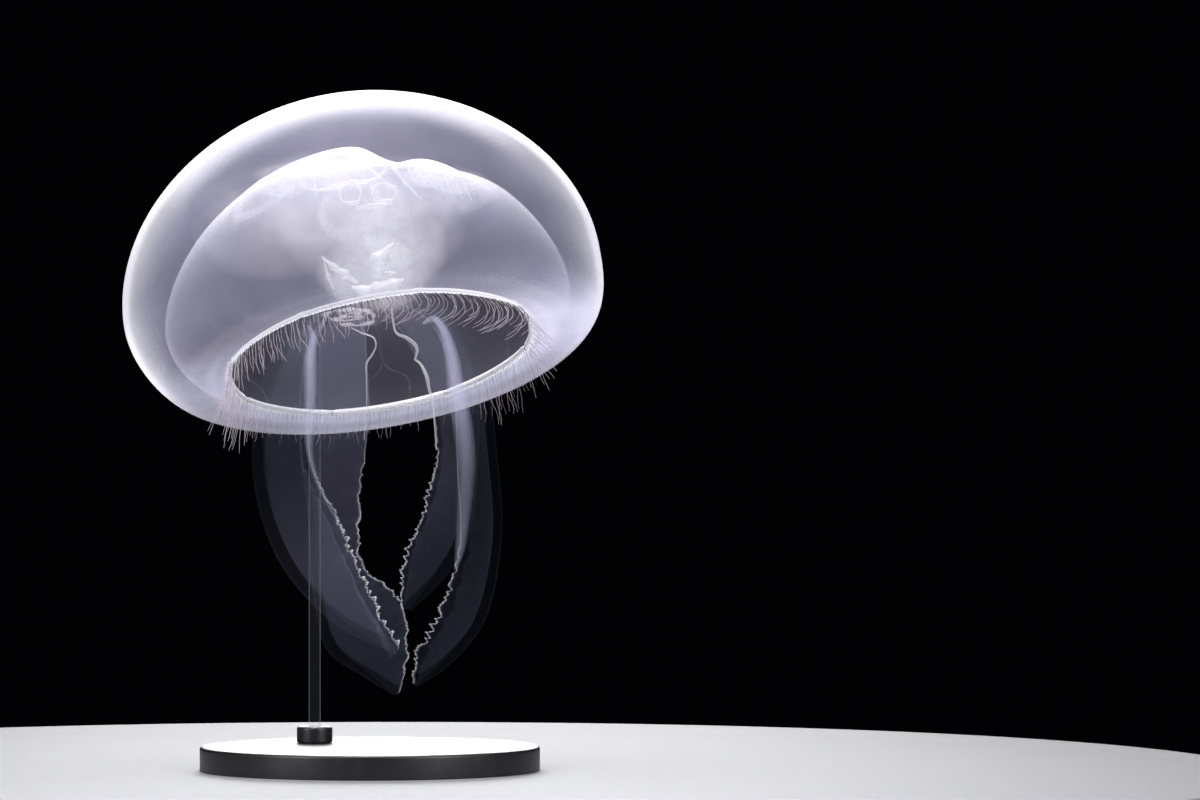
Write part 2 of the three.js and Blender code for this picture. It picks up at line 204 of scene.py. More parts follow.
class Finish:
    def __init__(self, name):
        self.material = bpy.data.materials.new(name)
        self.material.use_nodes = True
        self.tree = self.material.node_tree
        self.tree.nodes.clear()

    def node(self, kind, settings=None, sockets=None, output=0):
        made = self.tree.nodes.new("ShaderNode" + kind)
        for setting, value in (settings or {}).items():
            setattr(made, setting, value)
        for socket, value in (sockets or {}).items():
            if isinstance(value, Wire):
                self.tree.links.new(value.socket, made.inputs[socket])
            else:
                made.inputs[socket].default_value = value
        return Wire(self, made.outputs[output]) if made.outputs else None

    def mark(self, name, vector=False):
        """What the mesh says at this point."""
        return self.node("Attribute", {"attribute_name": name}, output=1 if vector else 2)

    def part(self, vector, axis):
        """One number of a vector: 0 is x, 1 is y and 2 is z."""
        return self.node("SeparateXYZ", {}, {"Vector": vector}, axis)

    def blend(self, share, first, second):
        """One colour fading to another."""
        return self.node("Mix", {"data_type": "RGBA"}, {0: share, 6: first, 7: second}, 2)

    def colour(self, tint):
        """A tint as a colour. A fading one is (share, first, second)."""
        if len(tint) != 3:
            return tint
        return self.blend(tint[0], self.colour(tint[1]), self.colour(tint[2]))

    def through(self, tint):
        """The same tint as light that shines through from behind."""
        if len(tint) != 3:
            return self.node("BsdfTranslucent", {}, {"Color": tint})
        return self.node("MixShader", {}, {
            0: tint[0], 1: self.through(tint[1]), 2: self.through(tint[2])})

    def stretch(self, vector, scale):
        return self.node("VectorMath", {"operation": "MULTIPLY"}, {0: vector, 1: scale})

    def noise(self, vector, scale, detail=2.0, roughness=0.5):
        return self.node("TexNoise", {}, {
            "Vector": vector, "Scale": scale, "Detail": detail, "Roughness": roughness})

    def spots(self, vector, scale):
        """The distance to the nearest of many scattered points."""
        return self.node("TexVoronoi", {}, {"Vector": vector, "Scale": scale})

    def bumps(self, height, distance, strength=0.5):
        return self.node("Bump", {}, {
            "Height": height, "Distance": distance, "Strength": strength})

    def surface(self, colour, roughness=0.35, normal=None, fixed=None):
        sockets = {"Base Color": colour, "Roughness": roughness, **(fixed or {})}
        if normal:
            sockets["Normal"] = normal
        return self.node("BsdfPrincipled", {}, sockets)

    def done(self, shader):
        self.node("OutputMaterial", {}, {"Surface": shader})
        print("finish", self.material.name, "nodes", len(self.tree.nodes))
        return self.material


trial = Finish("trial")
total = trial.mark("first") + 2 * trial.mark("second")
print("a small sum of two marks takes", len(total.finish.tree.nodes), "nodes")
bpy.data.materials.remove(trial.material)

# %% [markdown]
# ## How clear jelly looks
#
# Jelly scatters a little of the light that crosses it. Looked at square on, a thin layer
# is nearly invisible; at the edge of a curved layer the eye looks along it, through far
# more jelly, so the edge glows. A volume shader would do this truly but is slow and noisy.
# A cheaper way is to treat each skin as a veil whose cover grows with the length of the
# path through it: with `thin` the cover square on, the cover at a slant is
# `1 - (1 - thin) ** (1 / cosine)`, and a power on the cosine makes up for the jelly that
# lies behind a skin near its edge. Half of what the veil catches goes back and half goes
# on through, which a plain surface and a translucent one mixed in equal parts give.
#
# Milky tissue has no sharp skin. For it, `soft` turns the rule round: the cover falls away
# towards the edge, and the piece looks like a puff of cloud.
#
# The rest shapes the light on a curved skin. `power` is that power on the cosine, and
# `least` is the smallest cosine used, so that an edge never turns solid. Each of the
# `glows` adds some cover over a range of slants, and `sheen` is a painted sheen: how far
# the skin turns white at a slant, which whitens the soft bright bands near its edges.

# %% The veil
LAVENDER = (0.71, 0.69, 0.92, 1)
WHITE_JELLY = (0.97, 0.96, 1.0, 1)


def veil(finish, tint, thin, roughness=0.35, normal=None, least=0.07, soft=None, power=1.0,
         glows=(), sheen=None):
    fixed = {"IOR": 1.36, "Specular IOR Level": 0.3}
    facing = 1 - finish.node("LayerWeight", {}, {"Blend": 0.5}, output=1)
    for amount, start, end in glows:
        thin = thin + amount * facing.ramp(start, end)
    if soft:
        cover = thin * facing ** soft
    else:
        cover = 1 - (1 - thin) ** (1 / facing.least(least) ** power)
    lit = finish.surface(finish.colour(tint), roughness, normal, fixed)
    both = finish.node("MixShader", {}, {0: 0.5, 1: lit, 2: finish.through(tint)})
    if sheen:
        # A painted sheen: white jelly mixed in where the skin is seen at a slant.
        front = finish.node("BsdfDiffuse", {}, {"Color": WHITE_JELLY})
        pale = finish.node("MixShader", {}, {0: 0.5, 1: front, 2: finish.through(WHITE_JELLY)})
        both = finish.node("MixShader", {}, {0: sheen * facing.ramp(0.6, 0.2), 1: both, 2: pale})
    clear = finish.node("BsdfTransparent", {}, {})
    return finish.node("MixShader", {}, {0: cover, 1: clear, 2: both})


print("a veil with 2% cover covers", round(100 - 100 * 0.98 ** 10), "% where the cosine is a tenth")

# %% [markdown]
# ## The two skins of the bell
#
# The bell has an outer skin and an inner one, with clear jelly between them, and they meet
# at the lip of the opening. Each is a dome that turns in below its widest ring. Both could
# be sculpted, but a formula keeps them true to the solid model: an ellipse whose fullness
# can be set for the dome (2 is a plain ellipse, and less is more pointed), a quarter ellipse
# for the turn, and a nearly flat stretch to the lip. Rows of such points, swung once round
# the axis, make the whole bell as one closed skin with no seam.

# %% The bell's outline
OUTSIDE = {"radius": 120, "girth": 36.5, "apex": 132, "fullness": 1.92,
           "foot": (98, -0.7), "lip": 0.0}
INSIDE = {"radius": 101, "girth": 25.5, "apex": 110.5, "fullness": 1.65,
          "foot": (87, 6), "lip": 3.0}
OPENING_RADIUS, OPENING_SHIFT, LIP_ROUND = 75.0, 3.5, 1.5
DOME_ROWS, TURN_ROWS, FOOT_ROWS = 64, 22, 14
GONAD_CENTRE = 39.0  # from the bell's axis


def smooth(values, low, high):
    share = np.clip((np.asarray(values, float) - low) / (high - low), 0, 1)
    return share * share * (3 - 2 * share)


def dome(skin, shares):
    angle = np.asarray(shares) * math.pi / 2
    power = 2 / skin["fullness"]
    level = np.clip(np.cos(angle), 0, 1) ** power
    return np.column_stack([skin["radius"] * np.sin(angle) ** power,
                            skin["girth"] + (skin["apex"] - skin["girth"]) * level])


def turn_in(skin, shares):
    angle = np.asarray(shares) * math.pi / 2
    foot, level = skin["foot"]
    return np.column_stack([foot + (skin["radius"] - foot) * np.cos(angle),
                            skin["girth"] - (skin["girth"] - level) * np.sin(angle)])


def outline(skin):
    """Distance from the axis and height of each ring, from near the apex to the lip."""
    (foot, level), edge = skin["foot"], OPENING_RADIUS + LIP_ROUND
    over, under, flat = (np.linspace(0, 1, rows + 1)[1:]
                         for rows in (DOME_ROWS, TURN_ROWS, FOOT_ROWS))
    to_lip = np.column_stack([foot + (edge - foot) * flat,
                              level + (skin["lip"] - level) * flat])
    return np.concatenate([dome(skin, over), turn_in(skin, under), to_lip])


def ceiling(radius):
    """The height of the inner skin at a distance from the axis."""
    power = INSIDE["fullness"]
    level = np.clip(1 - (np.asarray(radius) / INSIDE["radius"]) ** power, 0, 1) ** (1 / power)
    return INSIDE["girth"] + (INSIDE["apex"] - INSIDE["girth"]) * level


print("outer skin", len(outline(OUTSIDE)), "rings, ceiling at the gonads",
      ceiling(GONAD_CENTRE).round(1))

# %% [markdown]
# ## Lappets, notches and stomach pouches
#
# The edge of the opening isn't a plain circle. It swings in a little at the middle of each
# of eight lobes and is nicked between them, where the sense organs sit. The opening also
# lies off the axis, towards one side. Over each gonad the inner skin makes a shallow pouch,
# and between the pouches it hangs lower, lowest in one deep groove. Such changes could be
# separate modifiers, but they are simple sums on radius and height, so they are done on
# the rows before the mesh is made.

# %% The changes round the bell
LOBES, RIM = 8, 85.0


def edge_shift(radius, height, angle, notch=1.0):
    near = smooth(RIM - radius, 0, 6) * (1 - smooth(height, 6, 12))
    lobe = -0.3 * np.cos(LOBES * angle)
    away = np.abs((angle * LOBES / (2 * math.pi)) % 1 - 0.5) * 2 * math.pi / LOBES
    nick = notch * np.exp(-((away * OPENING_RADIUS / 2.3) ** 2))
    swing = OPENING_SHIFT * (1 - smooth(height, 0, OUTSIDE["girth"])) * np.cos(angle)
    return (lobe + nick) * near + swing


POUCHES = {  # quarter: degrees round the bell, distance from its axis, size, lift
    "right": (0, 50, 19, -0.5), "back": (90, 40, 20, 2.5),
    "left": (180, 44, 21, 2.6), "front": (270, 38, 19, -2.0),
}
DEEP_GROOVE = math.radians(318)


def pouches(radius, angle):
    """How far the inner skin is lifted, and how much of a point lies in a pouch."""
    inside = 0 * (radius + angle)
    lift = 0 * inside
    for degrees, centre, size, height in POUCHES.values():
        middle = math.radians(degrees)
        across = radius * np.cos(angle - middle) - centre
        aside = radius * np.sin(angle - middle)
        share = np.exp(-((across ** 2 + aside ** 2) / size ** 2) ** 2)
        lift, inside = lift + height * share, inside + share
    away = (angle - DEEP_GROOVE + math.pi) % (2 * math.pi) - math.pi
    groove = (1.5 + 9 * np.exp(-((away / 0.75) ** 2))) * (1 - smooth(radius, 58, 86))
    groove = np.maximum(groove, 9.5 * (1 - smooth(radius, 16, 30)))
    inside = np.clip(inside, 0, 1)
    return lift - groove * (1 - inside), inside


def pouch_lift(radius, angle):
    return pouches(radius, angle)[0]


for place, angle in (("over the front gonad", 1.5 * math.pi), ("in the deep groove", DEEP_GROOVE)):
    print("lift", place, pouch_lift(np.array([GONAD_CENTRE]), np.array([angle])).round(1))

# %% [markdown]
# ## Making the bell
#
# The outer rows run from the apex to the lip, a small half circle rounds the lip, and the
# inner rows run back up to the ceiling. Two marks ride along for the finishes: `reach`, 0
# at the apex and 1 at the lip, and `milk`, which is high where the stomach pouches cloud
# the inner skin. A single closed skin stands for the crown, the eight lobes and the rim.

# %% The bell
COLUMNS = 384


def skin_rows(rows, inner):
    angle = np.arange(COLUMNS) * 2 * math.pi / COLUMNS
    radius, height = rows[:, :1] + 0 * angle, rows[:, 1:] + 0 * angle
    lift, cloud = (part * smooth(height, 45, 75) * inner for part in pouches(radius, angle))
    radius = radius + edge_shift(radius, height, angle)
    height = height + lift
    return np.stack([radius * np.cos(angle), radius * np.sin(angle), height], axis=-1), cloud


def bell_shape():
    outer, inner = outline(OUTSIDE), outline(INSIDE)[::-1]
    arc = np.linspace(0, math.pi, 9)[1:-1]
    lip = np.column_stack([OPENING_RADIUS + LIP_ROUND * (1 - np.sin(arc)),
                           LIP_ROUND - LIP_ROUND * np.cos(arc)])
    over, _ = skin_rows(np.concatenate([outer, lip]), False)
    under, cloud = skin_rows(inner, True)
    grid = np.concatenate([over, under]).reshape(-1, 3)
    tips = np.array([[0, 0, OUTSIDE["apex"]], under[-1].mean(axis=0)])
    rings, last = len(over) + len(under), len(grid) + 1
    around = np.arange(COLUMNS)
    fan = np.column_stack([0 * around, 1 + around, 1 + (around + 1) % COLUMNS])
    faces = fan.tolist()
    faces += [[i + 1 for i in face] for face in ring_faces(rings, COLUMNS, caps=False)]
    faces += np.column_stack([last - COLUMNS + around, last - COLUMNS + (around + 1) % COLUMNS,
                              0 * around + last]).tolist()
    reach = np.concatenate([np.linspace(0, 1, len(outer)), np.ones(len(lip)),
                            np.linspace(1, 0, len(under))])
    milk = np.concatenate([np.zeros(over.shape[0] * COLUMNS), cloud.ravel()])
    shape = Shape("reach", "milk")
    shape.add(to_stand(np.concatenate([tips[:1], grid, tips[1:]])), faces,
              [0] * (COLUMNS * len(over)) + [1] * (COLUMNS * (len(under) + 1)),
              reach=np.concatenate([[0], np.repeat(reach, COLUMNS), [0]]),
              milk=np.concatenate([[0], milk, [0.2]]))
    return shape


bell = bell_shape()
print("bell points", bell.count)

# %% [markdown]
# ## The finish of the outer skin
#
# The outer skin is clear lavender jelly. Near the margin it is dusted with tiny pale
# stinging warts, and faint streaks run down from the top. The warts could be modelled, but
# there are thousands, each a fifth of a millimetre across, so a pattern of scattered spots
# gives them colour and cover. A bump would add little on skin that is mostly looked
# through, so the skin is left smooth. `depth` grows on the way down from the apex, as the
# jelly behind the skin does, and the factors after it raise or ease the cover by place.
# Easing it on the far wall is painted shade. The first glow is a painted bright rim near
# the apex, where the light falls from above, and the white sheen at a slant is painted too.

# %% Outer skin
def outer_skin():
    finish = Finish("outer_skin")
    place, reach = finish.mark("bell", vector=True), finish.mark("reach")
    flat = finish.stretch(place, (1, 1, 0))
    fan = finish.node("VectorMath", {"operation": "NORMALIZE"}, {0: flat})
    streaks = finish.noise(finish.stretch(fan, (9, 9, 9)), 1.0, 4, 0.6)
    clouds = finish.noise(place, 0.035, 3, 0.55)
    dots = finish.spots(place, 1.0)
    warts = dots.ramp(0.30, 0.10) * reach.ramp(0.55, 0.85) * clouds.ramp(0.35, 0.6)
    lip = reach.ramp(0.982, 1.0)
    across, depthwise = finish.part(place, 0), finish.part(place, 1)
    rear, near = depthwise.ramp(-20, 80), depthwise.ramp(-10, -70)
    rings = finish.noise(finish.node("CombineXYZ", {}, {"X": 24 * reach}), 1.0, 1).ramp(0.4, 0.7)
    far_wall_shade = rear * reach.ramp(0.48, 0.58) * reach.ramp(0.82, 0.74) * across.ramp(70, 0, 0.4, 1)
    foot = reach.ramp(0.72, 0.84)
    tilt = 1 - across.ramp(-10, 80, 0.09, 0.36) * reach.ramp(0.62, 0.45)
    depth = reach.ramp(0.15, 0.45, 0.17, 2.65) * tilt - 0.55 * reach.ramp(0.55, 0.66)
    shoulders = (across.ramp(-5, -55, 0, 0.3) + across.ramp(30, 75)) * reach.ramp(0.72, 0.55)
    under_foot = 0.3 + (5 + 3.5 * reach.ramp(0.88, 0.97)) * rear + 0.85 * across.ramp(40, 95)
    # The cover eased on the far wall here is painted shade.
    thin = (0.044 + 0.03 * clouds + 0.014 * streaks) * depth \
        * (1 - 0.45 * rear - 0.28 * far_wall_shade) * (1 - 0.3 * foot * across.ramp(-30, -90)) \
        * (1 - 0.24 * shoulders) * (1 + foot * under_foot) * (1 - 0.4 * near * foot) \
        + 0.07 * warts * (1 - rear) + 0.04 * rings * foot * (1 - near) \
        + (0.12 + 0.45 * near + 0.2 * across.ramp(-20, 40)) * lip
    tint = ((warts + lip).most(1), LAVENDER, WHITE_JELLY)
    wet = finish.noise(place, 0.5, 3, 0.6)
    power = reach.ramp(0.40, 0.60, 0.65, 1.15) - (1.8 * rear + 0.7 * near) * reach.ramp(0.68, 0.8)
    # The first glow is a painted bright rim near the apex, where the light falls from above, and
    # the sheen paints the skin white at a slant.
    return finish.done(veil(finish, tint, thin, 0.3 + 0.15 * wet, power=power,
                            glows=[(0.25 * reach.ramp(0.40, 0.24), 0.48, 0.30),
                                   (0.25 * reach.ramp(0.76, 0.66), 0.30, 0.12)],
                            sheen=0.9 - 0.5 * foot))


bell_outside = outer_skin()

# %% [markdown]
# ## The finish of the inner skin
#
# The inner skin is thinner still, and its ring muscles show as fine hoops. Over the
# gonads it turns to milk. One more skin-like layer with a mark for the milk is enough; a
# second mesh for the pouches would only double the edges that shine.

# %% Inner skin
def inner_skin():
    finish = Finish("inner_skin")
    place, reach, milk = (finish.mark("bell", vector=True), finish.mark("reach"),
                          finish.mark("milk"))
    hoops = finish.noise(finish.stretch(place, (0.02, 0.02, 0.9)), 1.0, 3, 0.5)
    clouds = finish.noise(place, 0.05, 3, 0.55)
    depthwise = finish.part(place, 1)
    rear, near = depthwise.ramp(-20, 60), depthwise.ramp(-10, -60)
    # Less cover on the far wall is painted shade.
    thin = (0.012 + 0.010 * hoops + 0.008 * clouds) * (1 - 0.65 * rear) \
        * reach.ramp(0.7, 0.85, 1.8, 2.0) * (1 - 0.3 * near * reach.ramp(0.7, 0.8)) \
        + 0.05 * reach.ramp(0.66, 0.3) * (0.6 + 0.8 * clouds) \
        + 0.10 * milk * clouds.ramp(0.3, 0.7) + 0.03 * reach.ramp(0.965, 1.0)
    tint = (milk.most(1), LAVENDER, WHITE_JELLY)
    normal = finish.bumps(hoops, 0.0002, 0.3)
    power = reach.ramp(0.28, 0.50, 1.15, 0.8)
    # The sheen paints the skin white at a slant.
    return finish.done(veil(finish, tint, thin, 0.35, normal, least=0.16, power=power,
                            sheen=0.7))


LOBE_NAMES = ["right", "back_right", "back", "back_left", "left", "front_left", "front",
              "front_right"]
make("bell_skin", bell, [bell_outside, inner_skin()], "jelly", "bell_crown",
     *("bell_lobe_" + name for name in LOBE_NAMES))

# %% [markdown]
# ## Curves that pass through stations
#
# The arms, the tentacles and the canals all follow curves. Blender has curve objects, but
# their points can't be asked for in plain numbers while a mesh is being planned. A
# Catmull-Rom curve passes through each of its stations, and it is only a few sums. The
# arms use its centripetal form, as the solid model does, so that they fill its solids.

# %% Curves
def curve(stations, shares):
    """Points at shares of the way along a centripetal Catmull-Rom curve."""
    p = np.asarray(stations, float)
    p = np.concatenate([[2 * p[0] - p[1]], p, [2 * p[-1] - p[-2]]])
    place = np.clip(np.asarray(shares, float), 0, 1) * (len(p) - 3)
    i = np.minimum(place.astype(int), len(p) - 4)
    t = (place - i)[:, None]
    a, b, c, d = p[i], p[i + 1], p[i + 2], p[i + 3]
    gaps = [np.linalg.norm(q - r, axis=1)[:, None] ** 0.5 for q, r in ((b, a), (c, b), (d, c))]
    g0, g1, g2 = (np.maximum(g, 1e-4) for g in gaps)
    leave = ((b - a) / g0 - (c - a) / (g0 + g1) + (c - b) / g1) * g1
    arrive = ((c - b) / g1 - (d - b) / (g1 + g2) + (d - c) / g2) * g1
    return (b + leave * t + (-3 * b + 3 * c - 2 * leave - arrive) * t ** 2
            + (2 * b - 2 * c + leave + arrive) * t ** 3)


def unit(vectors):
    return vectors / np.maximum(np.linalg.norm(vectors, axis=-1, keepdims=True), 1e-9)


def lengths(points):
    """The distance along a row of points, up to each of them."""
    return np.concatenate([[0], np.cumsum(np.linalg.norm(np.diff(points, axis=0), axis=1))])


def tube(shape, spine, radii, side, sides=6, finish=0, **marks):
    """A closed tube along a row of points. `side` steers its section."""
    spine = np.asarray(spine, float)
    along = unit(np.gradient(spine, axis=0))
    across = unit(np.cross(along, np.broadcast_to(side, spine.shape)))
    other = np.cross(along, across)
    turn = np.arange(sides) * 2 * math.pi / sides
    radii = np.broadcast_to(np.asarray(radii, float), len(spine))[:, None, None]
    rings = spine[:, None] + radii * (across[:, None] * np.cos(turn)[:, None]
                                      + other[:, None] * np.sin(turn)[:, None])
    shape.add(rings, ring_faces(len(spine), sides), finish,
              **{key: np.repeat(np.broadcast_to(value, len(spine)), sides)
                 for key, value in marks.items()})


print("a curve's middle:", curve([[0, 0, 0], [1, 0, 0], [2, 1, 0]], [0.5]).round(2))

# %% [markdown]
# ## The gonads
#
# A ripe gonad is a pleated ribbon bent into a horseshoe under the roof of its stomach
# pouch. From the side its pleats show as short bright streaks that hang from a brighter
# roll. A plain horseshoe tube would look like a doughnut, so a ridged ribbon is swept just
# under the roof, and a thin curtain whose path swings in and out hangs from it.

# %% Gonads
def organ_finish(name, thin, tint, grain=0.35, soft=None, patchy=0.25):
    finish = Finish(name)
    place = finish.mark("bell", vector=True)
    mottle = finish.noise(place, grain, 4, 0.6)
    fine = finish.noise(place, grain * 5, 2, 0.5)
    if tint != WHITE_JELLY:
        tint = (mottle.ramp(0.3, 0.7), tint, WHITE_JELLY)
    normal = finish.bumps(mottle, 0.0006, 0.3)
    cover = finish.mark("cover") * thin * mottle.ramp(0.3, 0.7, 1 - patchy, 1 + patchy)
    return finish.done(veil(finish, tint, cover, 0.4 - 0.1 * fine, normal, soft=soft))


def gonad(quarter, rng):
    shape, weight = Shape("cover"), (1.0, 1.0, 1.0, 0.3)[quarter]
    middle = quarter * math.pi / 2
    out = np.array([math.cos(middle), math.sin(middle), 0])
    side = np.array([-math.sin(middle), math.cos(middle), 0])
    turn = np.linspace(-math.radians(150), math.radians(150), 640)
    phases = rng.uniform(0, 6.28, 4)
    pleat = (1.5 * np.sin(34 * turn + phases[0] + 0.8 * np.sin(3 * turn))
             + 0.7 * np.sin(57 * turn + phases[1]))
    path = 15.2 + 1.2 * np.sin(2 * turn + phases[2])
    lateral = np.cos(turn)[:, None] * out + np.sin(turn)[:, None] * side
    ends = np.cos(turn / 2.6)[:, None] ** 0.5

    def under_roof(reach):
        points = out * GONAD_CENTRE + lateral[:, None] * reach[..., None]
        x, y = points[..., 0], points[..., 1]
        radius, angle = np.hypot(x, y), np.arctan2(y, x)
        points[..., 2] = ceiling(radius) + pouch_lift(radius, angle) - 1.2
        return points

    def closed(over, under, fade):
        rings = np.concatenate([over, under[:, ::-1]], axis=1)
        shape.add(to_stand(rings.reshape(-1, 3)), ring_faces(len(rings), rings.shape[1]),
                  cover=np.concatenate([fade, fade[:, ::-1]], axis=1).ravel())

    across = np.linspace(-1, 1, 11)
    ribbon = under_roof(path[:, None] + (2.9 + 0.35 * pleat[:, None]) * ends * across)
    ridge = 0.45 * np.sin(62 * turn + phases[1] + 1.5 * np.sin(9 * turn))[:, None]
    ridge = ridge * (1 - across ** 2)
    half = 0.5 * np.sqrt(1 - 0.97 * across ** 2)
    up = np.array([0, 0, 1.0])
    fade = weight * (0.55 + 0.45 * np.sin(62 * turn + phases[3])[:, None] ** 2) \
        * (1 - 0.5 * across ** 2)
    closed(ribbon + (ridge + half - 1)[..., None] * up,
           ribbon + (ridge - half - 1)[..., None] * up, fade)
    levels = np.linspace(0, 1, 9)
    deep = (6.5 + 1.5 * np.sin(7 * turn + phases[3]) + 1.2 * np.sin(41 * turn + phases[0]))[:, None]
    base = under_roof((path + pleat)[:, None] + 0.8 * levels ** 2) \
        - (deep * ends ** 2 * levels)[..., None] * up
    thick = 0.55 * (1 - 0.5 * levels[:, None]) * lateral[:, None]
    closed(base + thick, base - thick, 0.12 * weight * (1 - 0.75 * levels) + 0 * turn[:, None])
    return shape


rng = np.random.default_rng(7)
MILK = (0.87, 0.835, 0.95, 1)
gonad_finish = organ_finish("gonad_folds", 0.42, MILK, soft=1.4)
for quarter, name in enumerate(("right", "back", "left", "front")):
    make("gonad_" + name + "_folds", gonad(quarter, rng), [gonad_finish], "organ", "gonad_" + name)

# %% [markdown]
# ## The stomach floor and the mouth tube
#
# Under the gonads lies the milky floor of the stomach. It narrows to a hanging tube, the
# manubrium, whose four corners run down into the four arms. A lathe would make it round,
# so here each ring is pulled out at its corners: strongly along the tube, where they become
# pillars between the gonads, and hardly at all at the mouth and out under the roof.

# %% Stomach and mouth
STOMACH = [  # height, radius, how far the corners stand out, cover
    (21.5, 13.5, 0.06, 1.0), (24, 11.8, 0.14, 0.8), (28, 10.6, 0.34, 0.9), (34, 11.6, 0.35, 1.0),
    (41, 12.2, 0.32, 1.0), (50, 10.8, 0.36, 1.0), (58, 9.6, 0.44, 0.9), (66, 10.4, 0.50, 0.8),
    (73, 13.0, 0.46, 0.7), (79, 19.0, 0.30, 0.5), (83, 27.0, 0.14, 0.35), (85, 36.0, 0.06, 0.18),
    (85, 44.0, 0.03, 0.06), (83.5, 50.0, 0.02, 0.0),
]
STOMACH_ROWS, STOMACH_COLUMNS, STOMACH_REACH = 72, 160, 57


def stomach_layer(shape, spread, weight):
    rows = curve(STOMACH, np.linspace(0, 1, STOMACH_ROWS))
    angle = np.arange(STOMACH_COLUMNS) * 2 * math.pi / STOMACH_COLUMNS
    corner = (0.5 - 0.5 * np.cos(4 * angle)) ** 2
    height, radius, stand_out, cover = (rows[:, i:i + 1] + 0 * angle for i in range(4))
    ruffle = 0.02 * np.sin(13 * angle + height / 5) + 0.04 * np.sin(7 * angle - height / 9)
    low = 1 - smooth(height, 50, 78)
    r = radius * (1 + stand_out * corner * 1.3 + spread * ruffle * low)
    r = r * (1 + (spread - 1) * smooth(height, 24, 44) * low)
    z = height + (2.0 * np.cos(4 * angle) + 1.2 * np.sin(4 * angle + 1)) * (1 - low)
    r = np.minimum(r, STOMACH_REACH)
    z = np.minimum(z, ceiling(r) + pouch_lift(r, angle) - 1.5)
    skin = np.stack([r * np.cos(angle), r * np.sin(angle), z], axis=-1)
    inside = skin * [0.93, 0.93, 1]
    inside[..., 2] = z + 0.8
    rings = np.concatenate([skin, inside[::-1]])
    cover = weight * np.concatenate([cover, cover[::-1]])
    shape.add(to_stand(rings.reshape(-1, 3)), looped_faces(len(rings), STOMACH_COLUMNS),
              cover=cover.ravel())


stomach = Shape("cover")
for spread, weight in ((1.0, 0.5), (1.5, 0.4)):
    stomach_layer(stomach, spread, weight)
make("stomach_and_mouth", stomach, [organ_finish("mouth_tube", 0.05, MILK, 0.12, 2.0, 0.1)],
     "organ", "manubrium")

# %% [markdown]
# ## Milk in the stomach
#
# Between the gonads and the mouth the tissue is thick and cloudy, with no edge that the
# eye can follow. A cloud could be a volume, but a few closed puffs with the soft finish
# look the same, render fast and can be exported. One sits in each stomach pouch. The rest
# are upright lens shapes in the stand's frame that overlap between the roof and the mouth.
# Each puff's cover fades towards its thin rim, so that no outline shows.

# %% Puffs of milk
CLOUD = (0.94, 0.93, 0.98, 1)
PUFF_ROWS, PUFF_COLUMNS = 31, 64
UPRIGHT_PUFFS = [  # centre in the stand's frame, radii, cover
    ([-14, -5, 284], (66, 10, 26), 0.25), ([-7, -6, 280], (56, 10, 20), 0.35),
    ([-1, -6, 268], (46, 9, 30), 0.3), ([10, -6, 262], (27, 9, 34), 0.6),
    ([2, -8, 248], (28, 8, 20), 0.75), ([-50, -4, 268], (40, 8, 24), 0.22),
    ([38, -4, 289], (26, 8, 13), 0.4), ([-8, -4, 293], (38, 8, 14), 0.4),
    ([-24, -4, 297], (32, 7, 9), 0.6), ([42, -4, 293], (14, 5, 6), 0.8),
    ([27, -4, 296], (13, 5, 6), 0.7), ([-44, -4, 291], (14, 5, 6), 0.7),
    ([-30, -4, 300], (14, 5, 5), 0.6),
]


def puff(shape, centre, radii, cover, turned=True, phase=0.0):
    """A closed puff. `turned` says that its centre and radii are in the bell's frame."""
    level = np.linspace(0, math.pi, PUFF_ROWS + 2)[1:-1, None]
    angle = np.arange(PUFF_COLUMNS) * 2 * math.pi / PUFF_COLUMNS
    wobble = 1 + 0.06 * np.sin(3 * angle + phase + 2 * level) + 0.05 * np.sin(5 * level + 2 * angle)
    ball = np.stack([np.sin(level) * np.cos(angle), np.sin(level) * np.sin(angle),
                     np.cos(level) + 0 * angle], axis=-1)
    sway = np.stack([wobble, wobble, np.ones_like(wobble)], axis=-1)
    grid = (ball * sway * radii).reshape(-1, 3) + centre
    fade = np.abs(ball[..., int(np.argmin(radii))]).ravel() ** 1.5
    shape.add(to_stand(grid) if turned else grid, ring_faces(PUFF_ROWS, PUFF_COLUMNS),
              cover=cover * fade)


milk = Shape("cover")
for number, (degrees, distance, size, lift) in enumerate(POUCHES.values()):
    middle, distance = math.radians(degrees), distance - 3
    roof = float(ceiling(distance)) + lift
    puff(milk, [distance * math.cos(middle), distance * math.sin(middle), roof - 8],
         (size, size, 6.5), 0.15, phase=number)
for centre, radii, cover in UPRIGHT_PUFFS:
    puff(milk, centre, radii, cover, False, centre[2])
make("stomach_milk", milk, [organ_finish("milk_cloud", 0.54, CLOUD, 0.05, 1.5, 0.5)], "organ")

# %% [markdown]
# ## Folds at the mouth
#
# Where the corners of the mouth tube pass into the arms the tissue doubles over, and each
# fold catches the light as a bright patch. Under the roof two small rings show where the
# pits beneath the gonads open, and short streaks hang beside them. The lips of the mouth
# make thin loops. All of them are tubes along a few stations in the stand's frame, and
# they share one soft finish.

